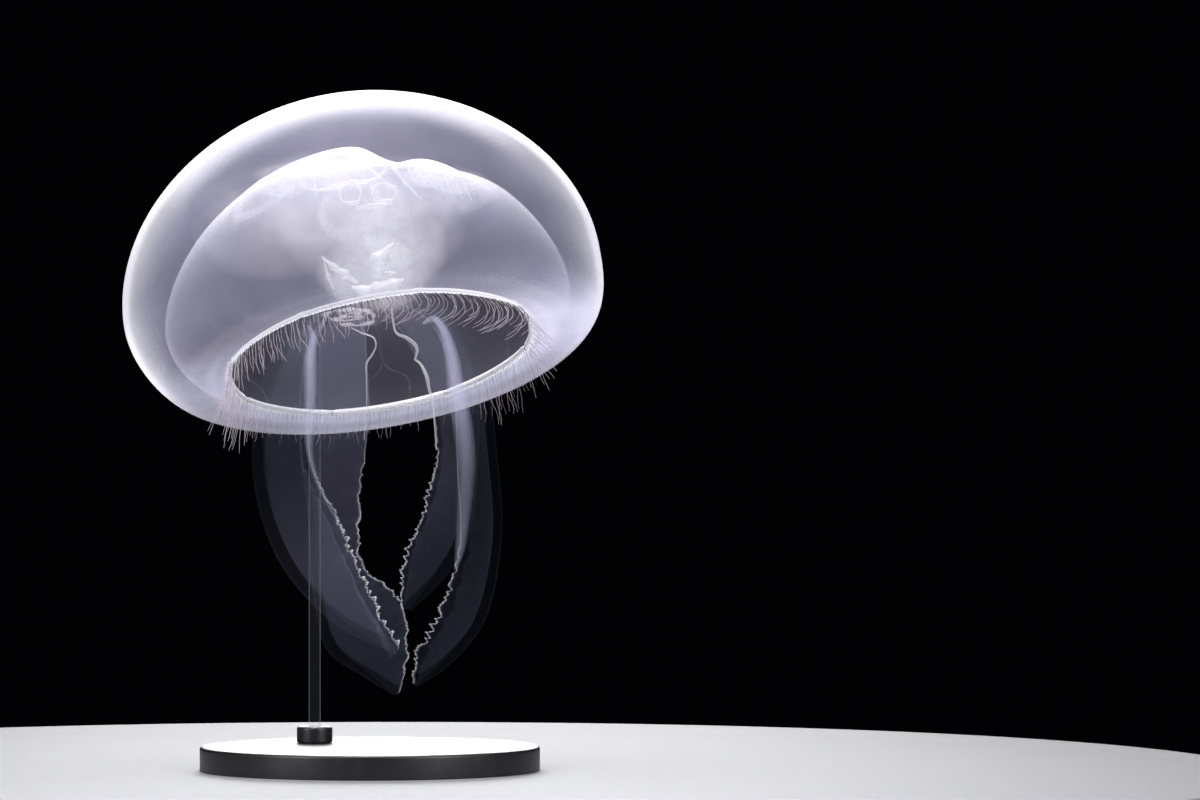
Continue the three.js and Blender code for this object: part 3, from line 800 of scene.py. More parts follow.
# %% Folds and rings
FOLDS = [  # stations in the stand's frame, half widths, cover
    ([[-23, -25, 256], [-17, -26, 251], [-11, -26, 247], [-5, -25, 243]],
     [0.4, 1.8, 2.4, 0.6], 0.45),
    ([[-22, -24, 255], [-20, -25, 247], [-17, -25, 240]], [0.4, 1.4, 0.4], 0.35),
    ([[13, -24, 263], [8, -26, 258], [4, -27, 253], [6, -27, 248], [14, -26, 248]],
     [0.4, 2.8, 4.2, 2.8, 0.5], 0.6),
    ([[15, -23, 263], [11, -24, 255], [8, -25, 247], [3, -26, 240]], [0.4, 1.8, 2.2, 0.5], 0.3),
    ([[-8, -26, 241], [0, -27, 239], [9, -27, 241], [18, -26, 245]], [0.8, 3.6, 4.4, 0.6], 0.8),
    ([[-14, -32, 301], [-13, -32, 296], [-14, -32, 292]], [0.4, 0.8, 0.3], 0.4),
    ([[-26, -32, 295], [-26, -32, 290], [-25, -32, 285]], [0.4, 0.9, 0.3], 0.4),
    ([[-1, -32, 301], [3, -32, 298], [8, -32, 293.5]], [0.4, 0.8, 0.3], 0.4),
    ([[12, -30, 300], [19, -30, 292], [27, -30, 284]], [0.4, 1.0, 0.3], 0.3),
    ([[-6, -32, 280], [2, -32, 281], [12, -32, 282]], [0.5, 1.5, 0.5], 0.35),
]
FOLDS += [([[19 + 4.6 * k, -27, 302 - 1.3 * k], [21 + 4.6 * k, -27, 298 - 1.3 * k],
            [24 + 4.6 * k, -27, 293 - 1.6 * k]], [0.3, 0.9, 0.2], 0.3) for k in range(7)]
PITS = [  # centre, half width, half height, cover
    ([-8.5, -33, 287.5], 5.2, 5.5, 0.4), ([8, -32, 287.5], 6.0, 4.6, 0.3)]
LIP_LOOPS = [  # lift, half width, half height, shift to the right
    (0, 10.5, 2.6, -11), (1.0, 6.0, 1.8, -9), (-2.0, 9.0, 3.4, -6)]


def folds():
    shape = Shape("cover")
    for stations, widths, cover in FOLDS:
        shares = np.linspace(0, 1, 40)
        wide = np.interp(shares, np.linspace(0, 1, len(widths)), widths)
        wide = wide * (1 + 0.18 * np.sin(shares * 19 + stations[0][0]))
        tube(shape, curve(stations, shares), wide, [0, 1.0, 0], 12, cover=cover)
    for centre, wide, high, cover in PITS:
        turn = np.linspace(0, 2 * math.pi, 49)
        wobble = 1 + 0.07 * np.sin(3 * turn + centre[0]) + 0.05 * np.sin(5 * turn)
        ring = np.column_stack([wide * wobble * np.cos(turn), 1.5 * np.sin(turn),
                                high * wobble * np.sin(turn)])
        tube(shape, np.array(centre) + ring, 0.85 + 0.45 * np.sin(3 * turn + wide), [0, 1.0, 0],
             10, cover=cover)
    for lift, wide, high, shift in LIP_LOOPS:
        turn = np.linspace(0, 2 * math.pi, 73)
        wobble = 1 + 0.10 * np.sin(3 * turn + lift) + 0.07 * np.sin(7 * turn)
        loop = np.column_stack([shift + wide * wobble * np.cos(turn), -14 - 6 * np.sin(turn),
                                227.5 + lift + high * wobble * np.sin(turn + 0.3)])
        tube(shape, loop, 0.75 + 0.4 * np.sin(5 * turn), [0, 1.0, 0], 8, cover=0.35)
    return shape


make("mouth_folds", folds(), [organ_finish("fold_tissue", 1.0, WHITE_JELLY, 0.12, 1.1, 0.12)],
     "organ")

# %% [markdown]
# ## Canals
#
# Food reaches the margin through fine canals in the inner skin. Some run straight, others
# fork again and again. From above they are the animal's best known mark. They could be
# painted as lines, but they lie in real depth, so each is a thin tube in the jelly just
# outside the inner skin, branched by a short rule that halves the angle at each fork.

# %% Canals
def on_inner_skin(radius_share, angle):
    """A point just above the inner skin at a share of the way down it."""
    rows = outline(INSIDE)
    place = np.asarray(radius_share) * (len(rows) - 1)
    i = np.minimum(place.astype(int), len(rows) - 2)
    row = rows[i] + (rows[i + 1] - rows[i]) * (place - i)[:, None]
    r, z = row[:, 0], row[:, 1]
    lift = pouch_lift(r, angle) * smooth(z, 45, 75)
    r = r + edge_shift(r, z, angle, 0) + 0.5 * smooth(78 - z, 0, 20)
    return np.column_stack([r * np.cos(angle), r * np.sin(angle), z + lift + 0.6])


def canals():
    shape = Shape("cover")
    rng = np.random.default_rng(11)

    def run(start, end, angle_from, angle_to, thick):
        shares = np.linspace(start, end, max(6, int(60 * (end - start))))
        step = smooth(shares, start, start + 0.6 * (end - start))
        angle = angle_from + (angle_to - angle_from) * step
        angle = angle + 0.004 * np.sin(shares * 60 + angle_to * 40)
        points = to_stand(on_inner_skin(shares, angle))
        tube(shape, points, thick * (1 - 0.3 * shares), TURN[:, 2], 5, cover=1.0)

    def fork(start, angle, spread, thick, depth):
        if depth == 0 or start > 0.8:
            run(start, 0.93, angle, angle, thick)
            return
        end = start + rng.uniform(0.10, 0.17)
        run(start, end, angle, angle, thick)
        for side in (-1, 1):
            turned = angle + side * spread * rng.uniform(0.8, 1.1)
            run(end, end + 0.12, angle, turned, thick * 0.9)
            fork(end + 0.12, turned, spread * 0.5, thick * 0.85, depth - 1)

    for eighth in range(8):
        middle = eighth * math.pi / 4
        run(0.42, 0.93, middle + math.pi / 8, middle + math.pi / 8, 0.30)
        fork(0.42, middle, 0.115, 0.38, 2)
    return shape


make("canals", canals(), [organ_finish("canal_lines", 0.012, MILK)], "organ")

# %% [markdown]
# ## The oral arms
#
# Each arm is a long blade of thin jelly, folded like a gutter. Its outer edge is a clear
# thick keel, and its inner edge is a frill with a beaded border that catches food. Two
# curves, one for the keel and one for the frill, steer it, and both come from the solid
# model's stations. A cloth simulation could ruffle it, but it would move the tips, which
# have to hang where the solid has them, so waves are added to the frill.

# %% Arm stations
ARMS = {
    "front_left": (
        [[-6, -11, 246], [-33, -26, 231], [-51, -38, 196], [-56, -44, 150],
         [-44, -43, 107], [-17, -34, 75], [13, -24, 59]],
        [[-6, -11, 236], [-26, -22, 220], [-29, -28, 192], [-28.5, -30, 157],
         [-13, -29, 121], [0.5, -26, 89], [15, -24, 62]]),
    "back_left": (
        [[-4, -8, 244], [-27, 4, 225], [-36, 12, 180], [-32, 16, 128],
         [-28.5, 16, 84], [-22, 14, 59], [-4, 10, 46.5], [12, 6, 37]],
        [[-3, -7, 236], [-2, 0, 214], [-1, 5, 178], [-6, 6, 128],
         [-4, 6, 103], [16, 5, 82], [18, 4, 60], [15, 5, 39]]),
    "back_right": (
        [[0, -8, 246], [33, 4, 230], [52, 12, 192], [53.5, 16, 150],
         [49, 16, 116], [38, 13, 97], [20, 10, 79]],
        [[1, -8, 237], [19, 1, 214], [29, 6, 190], [33, 8, 154],
         [25, 8, 125], [17, 8, 103], [15, 8, 82]]),
    "front_right": (
        [[0, -12, 248], [36, -24, 238], [57, -36, 200], [64.5, -42, 155],
         [66.5, -44, 118], [57.5, -40, 75], [38, -34, 52], [24, -28, 43]],
        [[1, -12, 239], [30, -20, 224], [41.5, -28, 196], [44.5, -30, 150],
         [45.5, -32, 112], [36, -30, 80], [25, -28, 60], [22.5, -27, 45]]),
}
KEEL_WIDTH = 6.5  # of the clear border along the keel, in mm
print("arms:", ", ".join(ARMS))

# %% [markdown]
# ## One arm
#
# Every ring of an arm goes out along one face and back along the other, so the blade is
# closed and thin. A second, narrower lip starts at the inner line of the keel and stands a
# few millimetres off the first, which makes the gutter. The frill's wave grows from nothing
# at the mouth to its full size below the bell, and its border is cut into uneven teeth, a
# fine row all the way and a coarse one on the wave. `edge` marks the frill's border, `keel`
# the clear one and `share` the way down the arm, so that one finish can serve all of it.

# %% The blade and its lip
ARM_ROWS, ARM_COLUMNS = 460, 28


def teeth(length, pitch, seed):
    """Small cusps at uneven steps along a length: 1 at a tip, 0 between two."""
    uneven = 0.30 * np.sin(length / 3.3 + seed) + 0.22 * np.sin(length / 1.9 + 2 * seed)
    return (1 - np.abs(2 * ((length / pitch + uneven) % 1) - 1)) ** 1.7


def blade(shape, keel, frill, seed, start_share=0.0, lift=0.0, wave=1.0, short=0.0, thin=1.0,
          frill_from=0.35, rim=1.0, tooth=1.0):
    shares = np.linspace(0, 1, ARM_ROWS)
    k, f = curve(keel, shares), curve(frill, shares)
    along = unit(np.gradient(k, axis=0) + np.gradient(f, axis=0))
    across = f - k
    width = np.linalg.norm(across, axis=1)
    flat = unit(np.cross(along, across))
    length = lengths(f)
    grown = smooth(shares, frill_from, frill_from + 0.2) * (1 - 0.6 * smooth(shares, 0.93, 1.0))
    slow = np.sin(length / 6.1 + seed) + 0.5 * np.sin(length / 3.7 - seed)
    tall = 0.8 + 0.35 * np.sin(length / 5.3 + 2 * seed) + 0.2 * np.sin(length / 2.7)
    fine = (0.3 + 0.4 * grown) * (teeth(length, 1.7, 3 * seed) - 0.3)
    reach = (grown * (tooth * tall * (teeth(length, 4.6, seed) - 0.35) + 0.45 * slow)
             + fine) * wave - short
    v = start_share + (1 - start_share) * (1 - (1 - np.linspace(0, 1, ARM_COLUMNS)) ** 1.7)
    far = v[None] * (1 + (reach / np.maximum(width, 4))[:, None] * v[None] ** 6)
    curl = 1.4 * grown[:, None] * v[None] ** 4 * (
        np.sin(length / 2.1 + 1.7 * seed)[:, None] + 0.6 * np.sin(length / 1.15 + seed)[:, None])
    bow = 2.2 * np.sin(math.pi * np.clip(v, 0, 1)) * np.minimum(width / 30, 1)[:, None]
    stand = lift * np.sin(np.clip((v - start_share) / (1 - start_share), 0, 1) * math.pi / 2)
    off = bow + curl + stand * np.minimum(width / 18, 1)[:, None]
    middle = k[:, None] + across[:, None] * far[..., None] + flat[:, None] * off[..., None]
    keel_share = np.clip(1 - v[None] * width[:, None] / KEEL_WIDTH, 0, 1)
    thick_keel = 1.1 * np.sqrt(4 * keel_share * (1 - keel_share)) * (start_share == 0)
    half = thin * (0.16 + 0.25 * (1 - v[None]) + thick_keel) * (1 - 0.4 * shares[:, None])
    half[:, 0] *= 0.4
    half[:, -1] *= 0.5
    over = middle + flat[:, None] * half[..., None]
    under = middle - flat[:, None] * half[..., None]
    rings = np.concatenate([over, under[:, ::-1]], axis=1)
    edge = smooth(v[None] * width[:, None], width[:, None] - 1.0, width[:, None] - 0.15)
    marks = {}
    for name, value in (("edge", rim * edge * (0.45 + 0.55 * grown[:, None])),
                        ("keel", np.broadcast_to(keel_share, edge.shape)),
                        ("share", shares[:, None] + 0 * edge)):
        marks[name] = np.concatenate([value, value[:, ::-1]], axis=1).ravel()
    shape.add(rings, ring_faces(ARM_ROWS, rings.shape[1]), 0, **marks)
    return middle, flat, grown


print("teeth each half millimetre:", teeth(np.arange(0, 4, 0.5), 4.6, 0.4).round(1))

# %% [markdown]
# ## Beads and rolled edges
#
# Along the frill stand short fingers, each well under a millimetre, that look like beads
# of light. They are small tubes set at random steps along the edge. Far down the front
# left arm the border curls into larger white knots. Higher up, the two front arms have no
# frill: their inner edge rolls over into a smooth pale band. The back arms have a fine
# bright roll there. A band and a roll are both tubes whose width changes along the way.

# %% Beads, bands and arm pieces
BRIGHT, PALE = 1, 2  # an arm's second finish, for beads and rolls, and its third, for bands


def bead_row(shape, edge, inner, flat, grown, rng, spacing=0.55):
    length = lengths(edge)
    place = 0.0
    while place < length[-1]:
        i = min(int(np.searchsorted(length, place)), len(edge) - 1)
        out = unit(edge[i] - inner[i])
        size = (0.25 + 0.75 * grown[i]) * rng.uniform(0.5, 1.15)
        side = unit(np.cross(out, flat[i]))
        lean = out + flat[i] * rng.uniform(-0.9, 0.9) + side * rng.uniform(-0.5, 0.5)
        steps = np.linspace(0, 1, 4)[:, None]
        spine = edge[i] - 0.25 * out + unit(lean) * steps * (0.25 + 0.55 * size)
        tube(shape, spine, 0.13 * size * np.array([0.9, 1.0, 0.95, 0.35]), side, 5, BRIGHT,
             edge=1.0, keel=0.0, share=0.0)
        place += spacing * rng.uniform(0.6, 1.6)


def knot_row(shape, edge, inner, rng, start=0.58, pitch=7.0):
    """Curled white knots far down a frill."""
    length = lengths(edge)
    place = start * length[-1]
    while place < length[-1]:
        i = min(int(np.searchsorted(length, place)), len(edge) - 6)
        along, out = unit(edge[i + 5] - edge[i - 5]), unit(edge[i] - inner[i])
        turn = np.linspace(0, 4.4, 12)[:, None]
        size = rng.uniform(0.9, 1.5)
        spine = edge[i] + size * (along * (turn / 2.2 - 1) + out * (0.5 - np.cos(turn * 1.6) * 0.6))
        tube(shape, spine, 0.30 * size * np.sin(np.linspace(0.3, 2.9, 12)), out, 6, BRIGHT,
             edge=1.0, keel=0.0, share=0.0)
        place += pitch * rng.uniform(0.7, 1.2)


def band(shape, stations, widths, finish):
    shares = np.linspace(0, 1, 120)
    wide = np.interp(shares, np.linspace(0, 1, len(widths)), widths)
    tube(shape, curve(stations, shares), wide, [1.0, 0, 0], 12, finish,
         edge=float(finish == BRIGHT), keel=0.0, share=shares)


def arm_finish(name, thin, tint, tip=1.0, tip_tint=None, soft=None):
    finish = Finish(name)
    place = finish.mark("bell", vector=True)
    edge, keel, share = finish.mark("edge"), finish.mark("keel"), finish.mark("share")
    clouds = finish.noise(place, 0.06, 3, 0.55)
    veins = finish.noise(finish.stretch(place, (0.35, 0.35, 0.03)), 1.0, 3, 0.6)
    clear = keel.ramp(0.0, 0.12)
    fade = share.ramp(0.3, 0.75, 2.7, 0.7) if soft else \
        share.ramp(0.2, 0.45, 2.4, 1.0) * share.ramp(0.5, 0.75, 1.0, tip)
    cover = thin * (0.7 + 0.35 * clouds + 0.35 * veins) * (1 - 0.6 * clear) * fade \
        + (0.10 * edge if not soft else 0)
    if tip_tint:
        tint = (share.ramp(0.4, 0.7), tint, tip_tint)
    if tint != WHITE_JELLY:
        tint = (edge.most(1), tint, WHITE_JELLY)
    fine = finish.noise(place, 0.7, 2, 0.5)
    normal = finish.bumps(veins, 0.0005, 0.35)
    return finish.done(veil(finish, tint, cover, 0.32 + 0.1 * fine, normal, soft=soft))


SEA_GREY, MAUVE = (0.55, 0.66, 0.93, 1), (0.66, 0.64, 0.94, 1)
ARM_JELLY = {  # how thin, its tint, how much thicker the tip looks, the tint there
    "front_left": (0.0075, SEA_GREY, 1.9, MAUVE), "back_left": (0.0105, MAUVE, 0.7, SEA_GREY),
    "back_right": (0.0095, MAUVE, 0.7, SEA_GREY), "front_right": (0.0035, SEA_GREY, 1.5)}
arm_details = [arm_finish("arm_beads", 0.15, WHITE_JELLY),
               arm_finish("arm_band", 0.12, LAVENDER, soft=2.2)]
# The share of each arm where its frill begins, the length of the frill's teeth, how far the
# lip stands off, and how far the lip ends short of the frill.
FRILLS = {
    "front_left": (0.45, 1.6, 5.0, 7.0), "back_left": (0.25, 1.0, -4.0, 2.0),
    "back_right": (0.33, 2.2, -4.0, 1.5), "front_right": (0.5, 3.0, 5.0, 2.5)}
BANDS = {  # stations, half widths, which finish
    "front_left": [([[-30, -19, 222], [-27.5, -23, 217], [-28.6, -27, 205], [-28.6, -28, 190],
                     [-28.4, -30, 157], [-21, -30, 136], [-10, -29, 117]],
                    [0.5, 2.2, 3.6, 3.8, 2.0, 0.9, 0.3], PALE),
                   ([[-20, -17, 229], [-23, -20, 222], [-27, -25, 213]], [0.6, 1.2, 1.8], PALE)],
    "back_left": [([[-9, -8, 221], [-4, -6, 218.5], [2, -3, 216], [3, -1, 212], [1, 0, 207.5],
                    [-1.7, 1, 203.5], [-1.9, 2, 197.5], [-1.8, 4, 185], [-3, 5, 165]],
                   [0.2, 0.35, 0.4, 0.3, 0.4, 0.45, 0.3, 0.22, 0.15], BRIGHT)],
    "back_right": [([[10.5, -6, 237], [11.5, -3, 225.5], [13.3, -1, 218.5], [18.5, 1, 216],
                     [22.5, 2, 212.5], [23.5, 2, 209.5], [22.3, 3, 205.3]],
                    [0.25, 0.4, 0.55, 0.8, 0.9, 0.7, 0.4], BRIGHT),
                   ([[22.3, 3, 205.3], [25, 4, 203.2], [28.3, 5, 196.5], [29.4, 6, 190.5],
                     [31.2, 6, 184], [32, 7, 175], [33, 8, 160]],
                    [0.4, 0.6, 0.9, 0.7, 0.5, 0.4, 0.25], BRIGHT)],
    "front_right": [([[27, -19, 223], [32, -22, 225.5], [36.5, -24, 221], [41.3, -26, 207],
                      [43.7, -27, 190], [47, -29, 173], [48.8, -30, 154], [48, -31, 135],
                      [45.8, -32, 112], [43.5, -32, 101]],
                     [0.8, 1.8, 2.8, 4.0, 5.0, 5.6, 5.3, 4.3, 2.9, 1.0], PALE)],
}
for seed, (name, (keel, frill)) in enumerate(ARMS.items()):
    arm = Shape("edge", "keel", "share")
    rng = np.random.default_rng(20 + seed)
    shares = np.linspace(0, 1, ARM_ROWS)
    width = np.linalg.norm(curve(keel, shares) - curve(frill, shares), axis=1).max()
    begins, tooth, lip_lift, lip_short = FRILLS[name]
    middle, flat, grown = blade(arm, keel, frill, 1.3 * seed + 0.4, frill_from=begins,
                                tooth=tooth)
    bead_row(arm, middle[:, -1], middle[:, -3], flat, grown, rng)
    if name == "front_left":
        knot_row(arm, middle[:, -1], middle[:, -3], rng)
    blade(arm, keel, frill, 1.3 * seed + 2.1, KEEL_WIDTH / width, lip_lift, 0.8, lip_short,
          0.9, rim=0.0)
    for one in BANDS[name]:
        band(arm, *one)
    jelly = arm_finish("arm_jelly_" + name, *ARM_JELLY[name])
    make("arm_" + name, arm, [jelly] + arm_details, "arm",
         *(f"arm_{name}_{part}" for part in ("upper", "middle", "tip")))

# %% [markdown]
# ## The fringe
#
# Hundreds of fine tentacles hang from the edge of the opening. Near the front they droop
# and hook back inward, on the far side they are swept out under the rim, and at the left
# end they hang straight and long. Hair curves would be the quick way, but they have no
# surface to export. Each tentacle is a thin tube, and a few sums on its place round the
# rim give its length and bend, with some chance added so that no two are alike.

# %% Tentacles
def rim_point(angle, inset, height):
    r = OPENING_RADIUS + inset
    r = r + edge_shift(np.array([r]), np.array([height]), np.array([angle]))[0]
    return np.array([r * math.cos(angle), r * math.sin(angle), height])


def tentacle(shape, angle, rng, row):
    """One tentacle: `row` 0 is a pale one of the outer row, 1 a dark one behind it, whose russet is
    partly painted shade.
    """
    x, y = math.cos(angle), math.sin(angle)
    out, side = np.array([x, y, 0.0]), np.array([-y, x, 0.0])
    far = float(smooth(y, -0.22, 0.22))  # 0 at the front, 1 at the far side
    left = float(smooth(-x, 0.80, 0.99))
    right = float(smooth(x, 0.88, 0.98) * smooth(y, -0.42, -0.12))
    hook = float(smooth(x, -0.15, 0.35))
    far_right = float(smooth(x, 0.5, 0.7) * smooth(y, 0.2, 0.4))
    length = (15 + 2 * hook) * (1 - far) + 14 * far + 10 * left * (1 - row) + 3 * right \
        + 10 * far_right
    length *= rng.uniform(0.6, 1.15) * (0.62 if row else 1.0)
    s = np.linspace(0, 1, 14)[:, None]
    sway = hook * (0.85 * s - 1.15 * s ** 2.5) + (1 - hook) * 0.22 * s ** 1.5
    hang = DOWN * s * (1 - 0.15 * hook * s ** 2) + np.array([1.0, 0, 0]) * sway + 0.1 * out * s
    bend = hang * (1 - far) + (DOWN * 0.95 + out * 0.25) * s * far
    for share, free in ((left, DOWN * s + out * 0.25 * s ** 1.3), (right, (DOWN + out) * 0.75 * s)):
        bend = bend * (1 - share) + free * share
    bend = bend + side * rng.normal(0, 0.10) * s ** 1.5 + out * rng.normal(0, 0.08) * s
    bend = bend + side * 0.04 * np.sin(s * 9 + rng.uniform(0, 6)) * s
    spine = rim_point(angle, 0.9 + 1.3 * row, 0.2 - 0.2 * row) + bend * max(length, 3)
    radius = 0.19 * (1 - 0.45 * s[:, 0]) * rng.uniform(0.85, 1.15)
    free_end = max(left, right)
    bright = (1 - 0.75 * far * (1 - free_end)) * (1 - row * free_end) * rng.uniform(0.4, 1.1)
    tube(shape, to_stand(spine), radius, TURN @ side, 5, row, bright=bright, tip=s[:, 0])


def fringe_finish(name, tint, tip_tint, thin):
    finish = Finish(name)
    place, tip, bright = (finish.mark("bell", vector=True), finish.mark("tip"),
                          finish.mark("bright"))
    bands = finish.noise(place, 0.9, 2, 0.5)
    normal = finish.bumps(bands, 0.0002, 0.3)
    cover = thin * bright * (0.8 + 0.5 * bands) * (1 - 0.45 * tip)
    return finish.done(veil(finish, (tip.ramp(0.0, 0.6), tint, tip_tint), cover, 0.4, normal,
                            least=0.2))


PINKISH = (0.93, 0.83, 0.93, 1)
# The dark row's russet is partly the tentacles' own hue and partly painted shade among the strands.
SHADE_RUSSET, PALER_SHADE_RUSSET = (0.05, 0.018, 0.022, 1), (0.16, 0.06, 0.08, 1)
TENTACLE_ROWS = [(250, 0.4), (240, 0.35)]  # how many, how far from an even step
fringe = Shape("bright", "tip")
rng = np.random.default_rng(3)
for row, (count, stray) in enumerate(TENTACLE_ROWS):
    for number in range(count):
        turn = 2 * math.pi * (number + rng.uniform(-stray, stray)) / count
        tentacle(fringe, turn, rng, row)
make("fringe", fringe,
     [fringe_finish("tentacles", WHITE_JELLY, PINKISH, 0.8),
      fringe_finish("shaded_dark_tentacles", SHADE_RUSSET, PALER_SHADE_RUSSET, 0.7)], "fringe",
     *("rim_fringe_" + name for name in LOBE_NAMES))

# %% [markdown]
# ## The bead line of the margin
#
# Where each tentacle joins the rim it swells into a bulb, and the bulbs make a bright
# dotted line. Each of the eight notches holds a rhopalium, a tiny club with the animal's
# sense of light and balance. Small closed drops, gathered into one mesh, do for both.

# %% Margin
def drop(shape, centre, out, long, wide, sides=6):
    turn = np.linspace(0, math.pi, 6)
    axis = unit(np.asarray(out, float))
    spine = centre + axis * (-np.cos(turn) * long)[:, None]
    tube(shape, spine, np.maximum(np.sin(turn), 0.12) * wide, [0.31, 0.45, 0.83], sides,
         cover=1.0)


BULBS = 400
margin = Shape("cover")
rng = np.random.default_rng(5)
for number in range(BULBS):
    turn = 2 * math.pi * number / BULBS + rng.normal(0, 0.002)
    spot = rim_point(turn, 0.35 + rng.uniform(-0.25, 0.35), 1.0 + rng.uniform(-0.3, 0.5))
    drop(margin, to_stand(spot), TURN @ [math.cos(turn), math.sin(turn), -0.8],
         rng.uniform(0.35, 0.65), rng.uniform(0.22, 0.42))
for lobe in range(LOBES):
    turn = 2 * math.pi * (lobe + 0.5) / LOBES
    spot = rim_point(turn, -0.4, 1.2)
    drop(margin, to_stand(spot), TURN @ [math.cos(turn), math.sin(turn), 0], 1.6, 0.75, 10)
make("margin_beads", margin, [organ_finish("bead_jelly", 0.65, WHITE_JELLY)], "fringe")

# %% [markdown]
# ## The stand
#
# A black satin disc with a clear acrylic rod holds the model up. The solids of the stand
# have their true size but show facets, so each is turned again with many more sides and a
# rounded edge. A lathe outline is all that such a round thing needs.

# %% Stand shapes
ROD_SPOT, ROD_RADIUS = np.array([-15.5, 15.5]), 3.0
BASE_RADIUS, BASE_TOP = 85, 12.0
COLLAR_RADIUS, COLLAR_HEIGHT = 9, 8.0
PAD_RADIUS, PAD_THICK = 6.5, 3
GAP = 0.3  # left between two pieces that touch
pad_level = float(ceiling(np.linalg.norm(ROD_SPOT) + PAD_RADIUS)) - GAP
rod_top = to_stand([[*ROD_SPOT, pad_level - PAD_THICK]])[0]
rod_high = rod_top[2] - GAP - ROD_RADIUS * math.tan(math.acos(-DOWN[2]))


def lathe(outline_points, sides=144):
    angle = np.arange(sides) * 2 * math.pi / sides
    rows = np.asarray(outline_points, float)
    return np.stack([rows[:, :1] * np.cos(angle), rows[:, :1] * np.sin(angle),
                     rows[:, 1:] + 0 * angle], axis=-1)


def rounded(radius, low, high, bevel, bore=0.0):
    """The outline of a disc whose edges are rounded, from its underside to its top."""
    arc = np.linspace(0, math.pi / 2, 9)
    small = min(0.5, bevel)
    under = [(radius - small + small * math.sin(a), low + small - small * math.cos(a)) for a in arc]
    over = [(radius - bevel + bevel * math.cos(a), high - bevel + bevel * math.sin(a)) for a in arc]
    inner = max(bore, 0.01)
    return [(inner, low), (radius * 0.5 + inner * 0.5, low), *under, *over,
            (radius * 0.5 + inner * 0.5, high), (inner, high)]


def turned_piece(name, points, centre, leaning, finish, slot, bore, *nodes):
    """A round piece. A leaning one stands in the bell's frame, one with a bore is a ring."""
    rings = lathe(points)
    placed = rings.reshape(-1, 3) + [*centre[:2], 0]
    faces = (looped_faces if bore else ring_faces)(*rings.shape[:2])
    shape = Shape()
    shape.add(to_stand(placed) if leaning else placed, faces)
    make(name, shape, [finish], slot, *nodes)


def clear_acrylic():
    finish = Finish("clear_acrylic")
    place = finish.mark("bell", vector=True)
    haze = finish.noise(place, 0.2, 3, 0.6)
    edge = finish.node("LayerWeight", {}, {"Blend": 0.15}, output=0)
    lit = finish.surface((0.55, 0.57, 0.60, 1), 0.10 + 0.10 * haze)
    clear = finish.node("BsdfTransparent", {}, {"Color": (0.97, 0.975, 0.98, 1)})
    return finish.done(finish.node("MixShader", {}, {0: 0.008 + 0.22 * edge, 1: clear, 2: lit}))


def satin_black():
    finish = Finish("satin_black")
    place = finish.mark("bell", vector=True)
    grain = finish.noise(place, 3.0, 3, 0.6)
    dust = finish.noise(place, 0.08, 4, 0.6).ramp(0.5, 0.75)
    colour = finish.blend(dust, (0.012, 0.012, 0.014, 1), (0.022, 0.022, 0.025, 1))
    normal = finish.bumps(grain, 0.00005, 0.4)
    return finish.done(finish.surface(colour, 0.32 + 0.12 * grain + 0.08 * dust, normal))


acrylic, satin = clear_acrylic(), satin_black()
on_base = BASE_TOP + GAP
turned_piece("stand_base_disc", rounded(BASE_RADIUS, 0, BASE_TOP, 1.5), (0, 0), False, satin,
             "base", False, "stand_base")
turned_piece("stand_collar_ring",
             rounded(COLLAR_RADIUS, on_base, on_base + COLLAR_HEIGHT, 1.5, ROD_RADIUS + GAP),
             rod_top, False, satin, "base", True, "stand_collar")
turned_piece("stand_clear_rod", rounded(ROD_RADIUS, on_base, rod_high, 0.4), rod_top,
             False, acrylic, "clear_rod", False, "stand_rod")
turned_piece("stand_clear_pad", rounded(PAD_RADIUS, pad_level - PAD_THICK, pad_level, 0.8),
             ROD_SPOT, True, acrylic, "clear_rod", False, "stand_pad")

# %% [markdown]
# ## The camera
#
# The animal is seen level, from the front, against the dark. A long lens from three metres
# keeps the width of the near and far rim alike, as through the wall of a big tank. The
# camera stands to the right of the model, so the jellyfish keeps to the left of the frame.
# Turning the camera would also move it there, but that would bend its upright lines.

# %% Camera
DISTANCE = 3.0  # from the camera to the model, in metres
lens = bpy.data.cameras.new("camera")
lens.lens, lens.sensor_width = 180, 36
camera = bpy.data.objects.new("camera", lens)
camera.location = (0.115, -DISTANCE, 0.185)
camera.rotation_euler = (math.radians(90), 0, 0)
bpy.context.scene.collection.objects.link(camera)
bpy.context.scene.camera = camera
print("the frame is", round(DISTANCE * lens.sensor_width / lens.lens, 3), "m wide at the model")

# %% [markdown]
# ## Light and floor
#
# Clear jelly shows best as it does in the sea: lit from above, with darkness behind. One
# wide soft light hangs over the bell, three more stand round it so that it reads from every
# side, and the room itself is nearly black. A ray may have to cross dozens of skins, so it
# is let through up to 48 clear surfaces. There are no diffuse bounces, so each skin shows
# only the light that reaches it from the lamps, and the dark between the skins stays clear.
# The floor is a plain pale disc, like the top of a plinth.

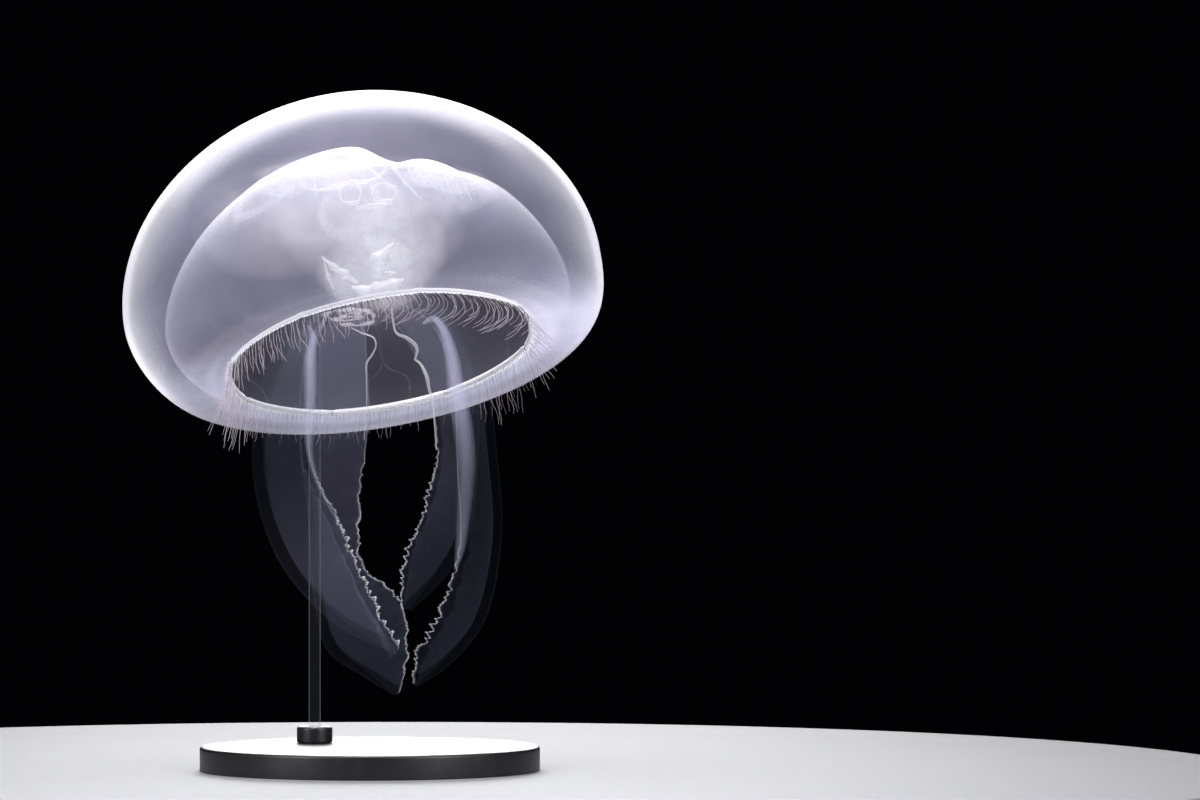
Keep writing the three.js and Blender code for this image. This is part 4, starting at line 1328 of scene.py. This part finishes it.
# %% Lights
def soft_light(name, place, aim, width, power, tint=(1, 1, 1)):
    lamp = bpy.data.lights.new(name, "AREA")
    lamp.shape, lamp.size, lamp.energy, lamp.color = "DISK", width, power, tint
    light = bpy.data.objects.new(name, lamp)
    light.location = place
    light.rotation_euler = (Vector(aim) - Vector(place)).to_track_quat("-Z", "Y").to_euler()
    bpy.context.scene.collection.objects.link(light)
    print(name, power, "W")


soft_light("light_above", (-0.03, -0.04, 0.74), (-0.01, 0, 0.2), 0.50, 8, (0.985, 0.98, 1))
for name, x, y in (("left", -1.1, -0.9), ("right", 1.1, -0.9), ("back", 0.0, 1.4)):
    soft_light("light_" + name, (x, y, 0.7), (0, 0, 0.22), 0.9, 17, (0.97, 0.97, 1))

room = bpy.data.worlds.new("dark_room")
room.use_nodes = True
room.node_tree.nodes["Background"].inputs["Color"].default_value = (0.0006, 0.0006, 0.001, 1)
room.node_tree.nodes["Background"].inputs["Strength"].default_value = 1.0
bpy.context.scene.world = room
bpy.context.scene.cycles.transparent_max_bounces = 48
bpy.context.scene.cycles.diffuse_bounces = 0
bpy.context.scene.view_settings.view_transform = "Standard"


# %% Floor
def floor_finish():
    finish = Finish("pale_floor")
    place = finish.node("TexCoord", output=3)
    grain = finish.noise(place, 60, 3, 0.6)
    colour = finish.blend(grain, (0.20, 0.20, 0.21, 1), (0.23, 0.23, 0.24, 1))
    return finish.done(finish.surface(colour, 0.6 + 0.1 * grain))


def make_floor(radius=0.45, thick=0.02):
    angle = np.linspace(0, 2 * math.pi, 193)[:-1]
    rows = [(0.001, 0), (radius - 0.003, 0), (radius, -0.003), (radius, -thick), (0.001, -thick)]
    points = [(r * math.cos(a), r * math.sin(a), z) for r, z in rows for a in angle]
    mesh = bpy.data.meshes.new("floor")
    mesh.from_pydata(points, [], ring_faces(len(rows), len(angle)))
    mesh.materials.append(floor_finish())
    floor = bpy.data.objects.new("floor", mesh)
    bpy.context.scene.collection.objects.link(floor)


make_floor()

# %% Finish
print("scene built")
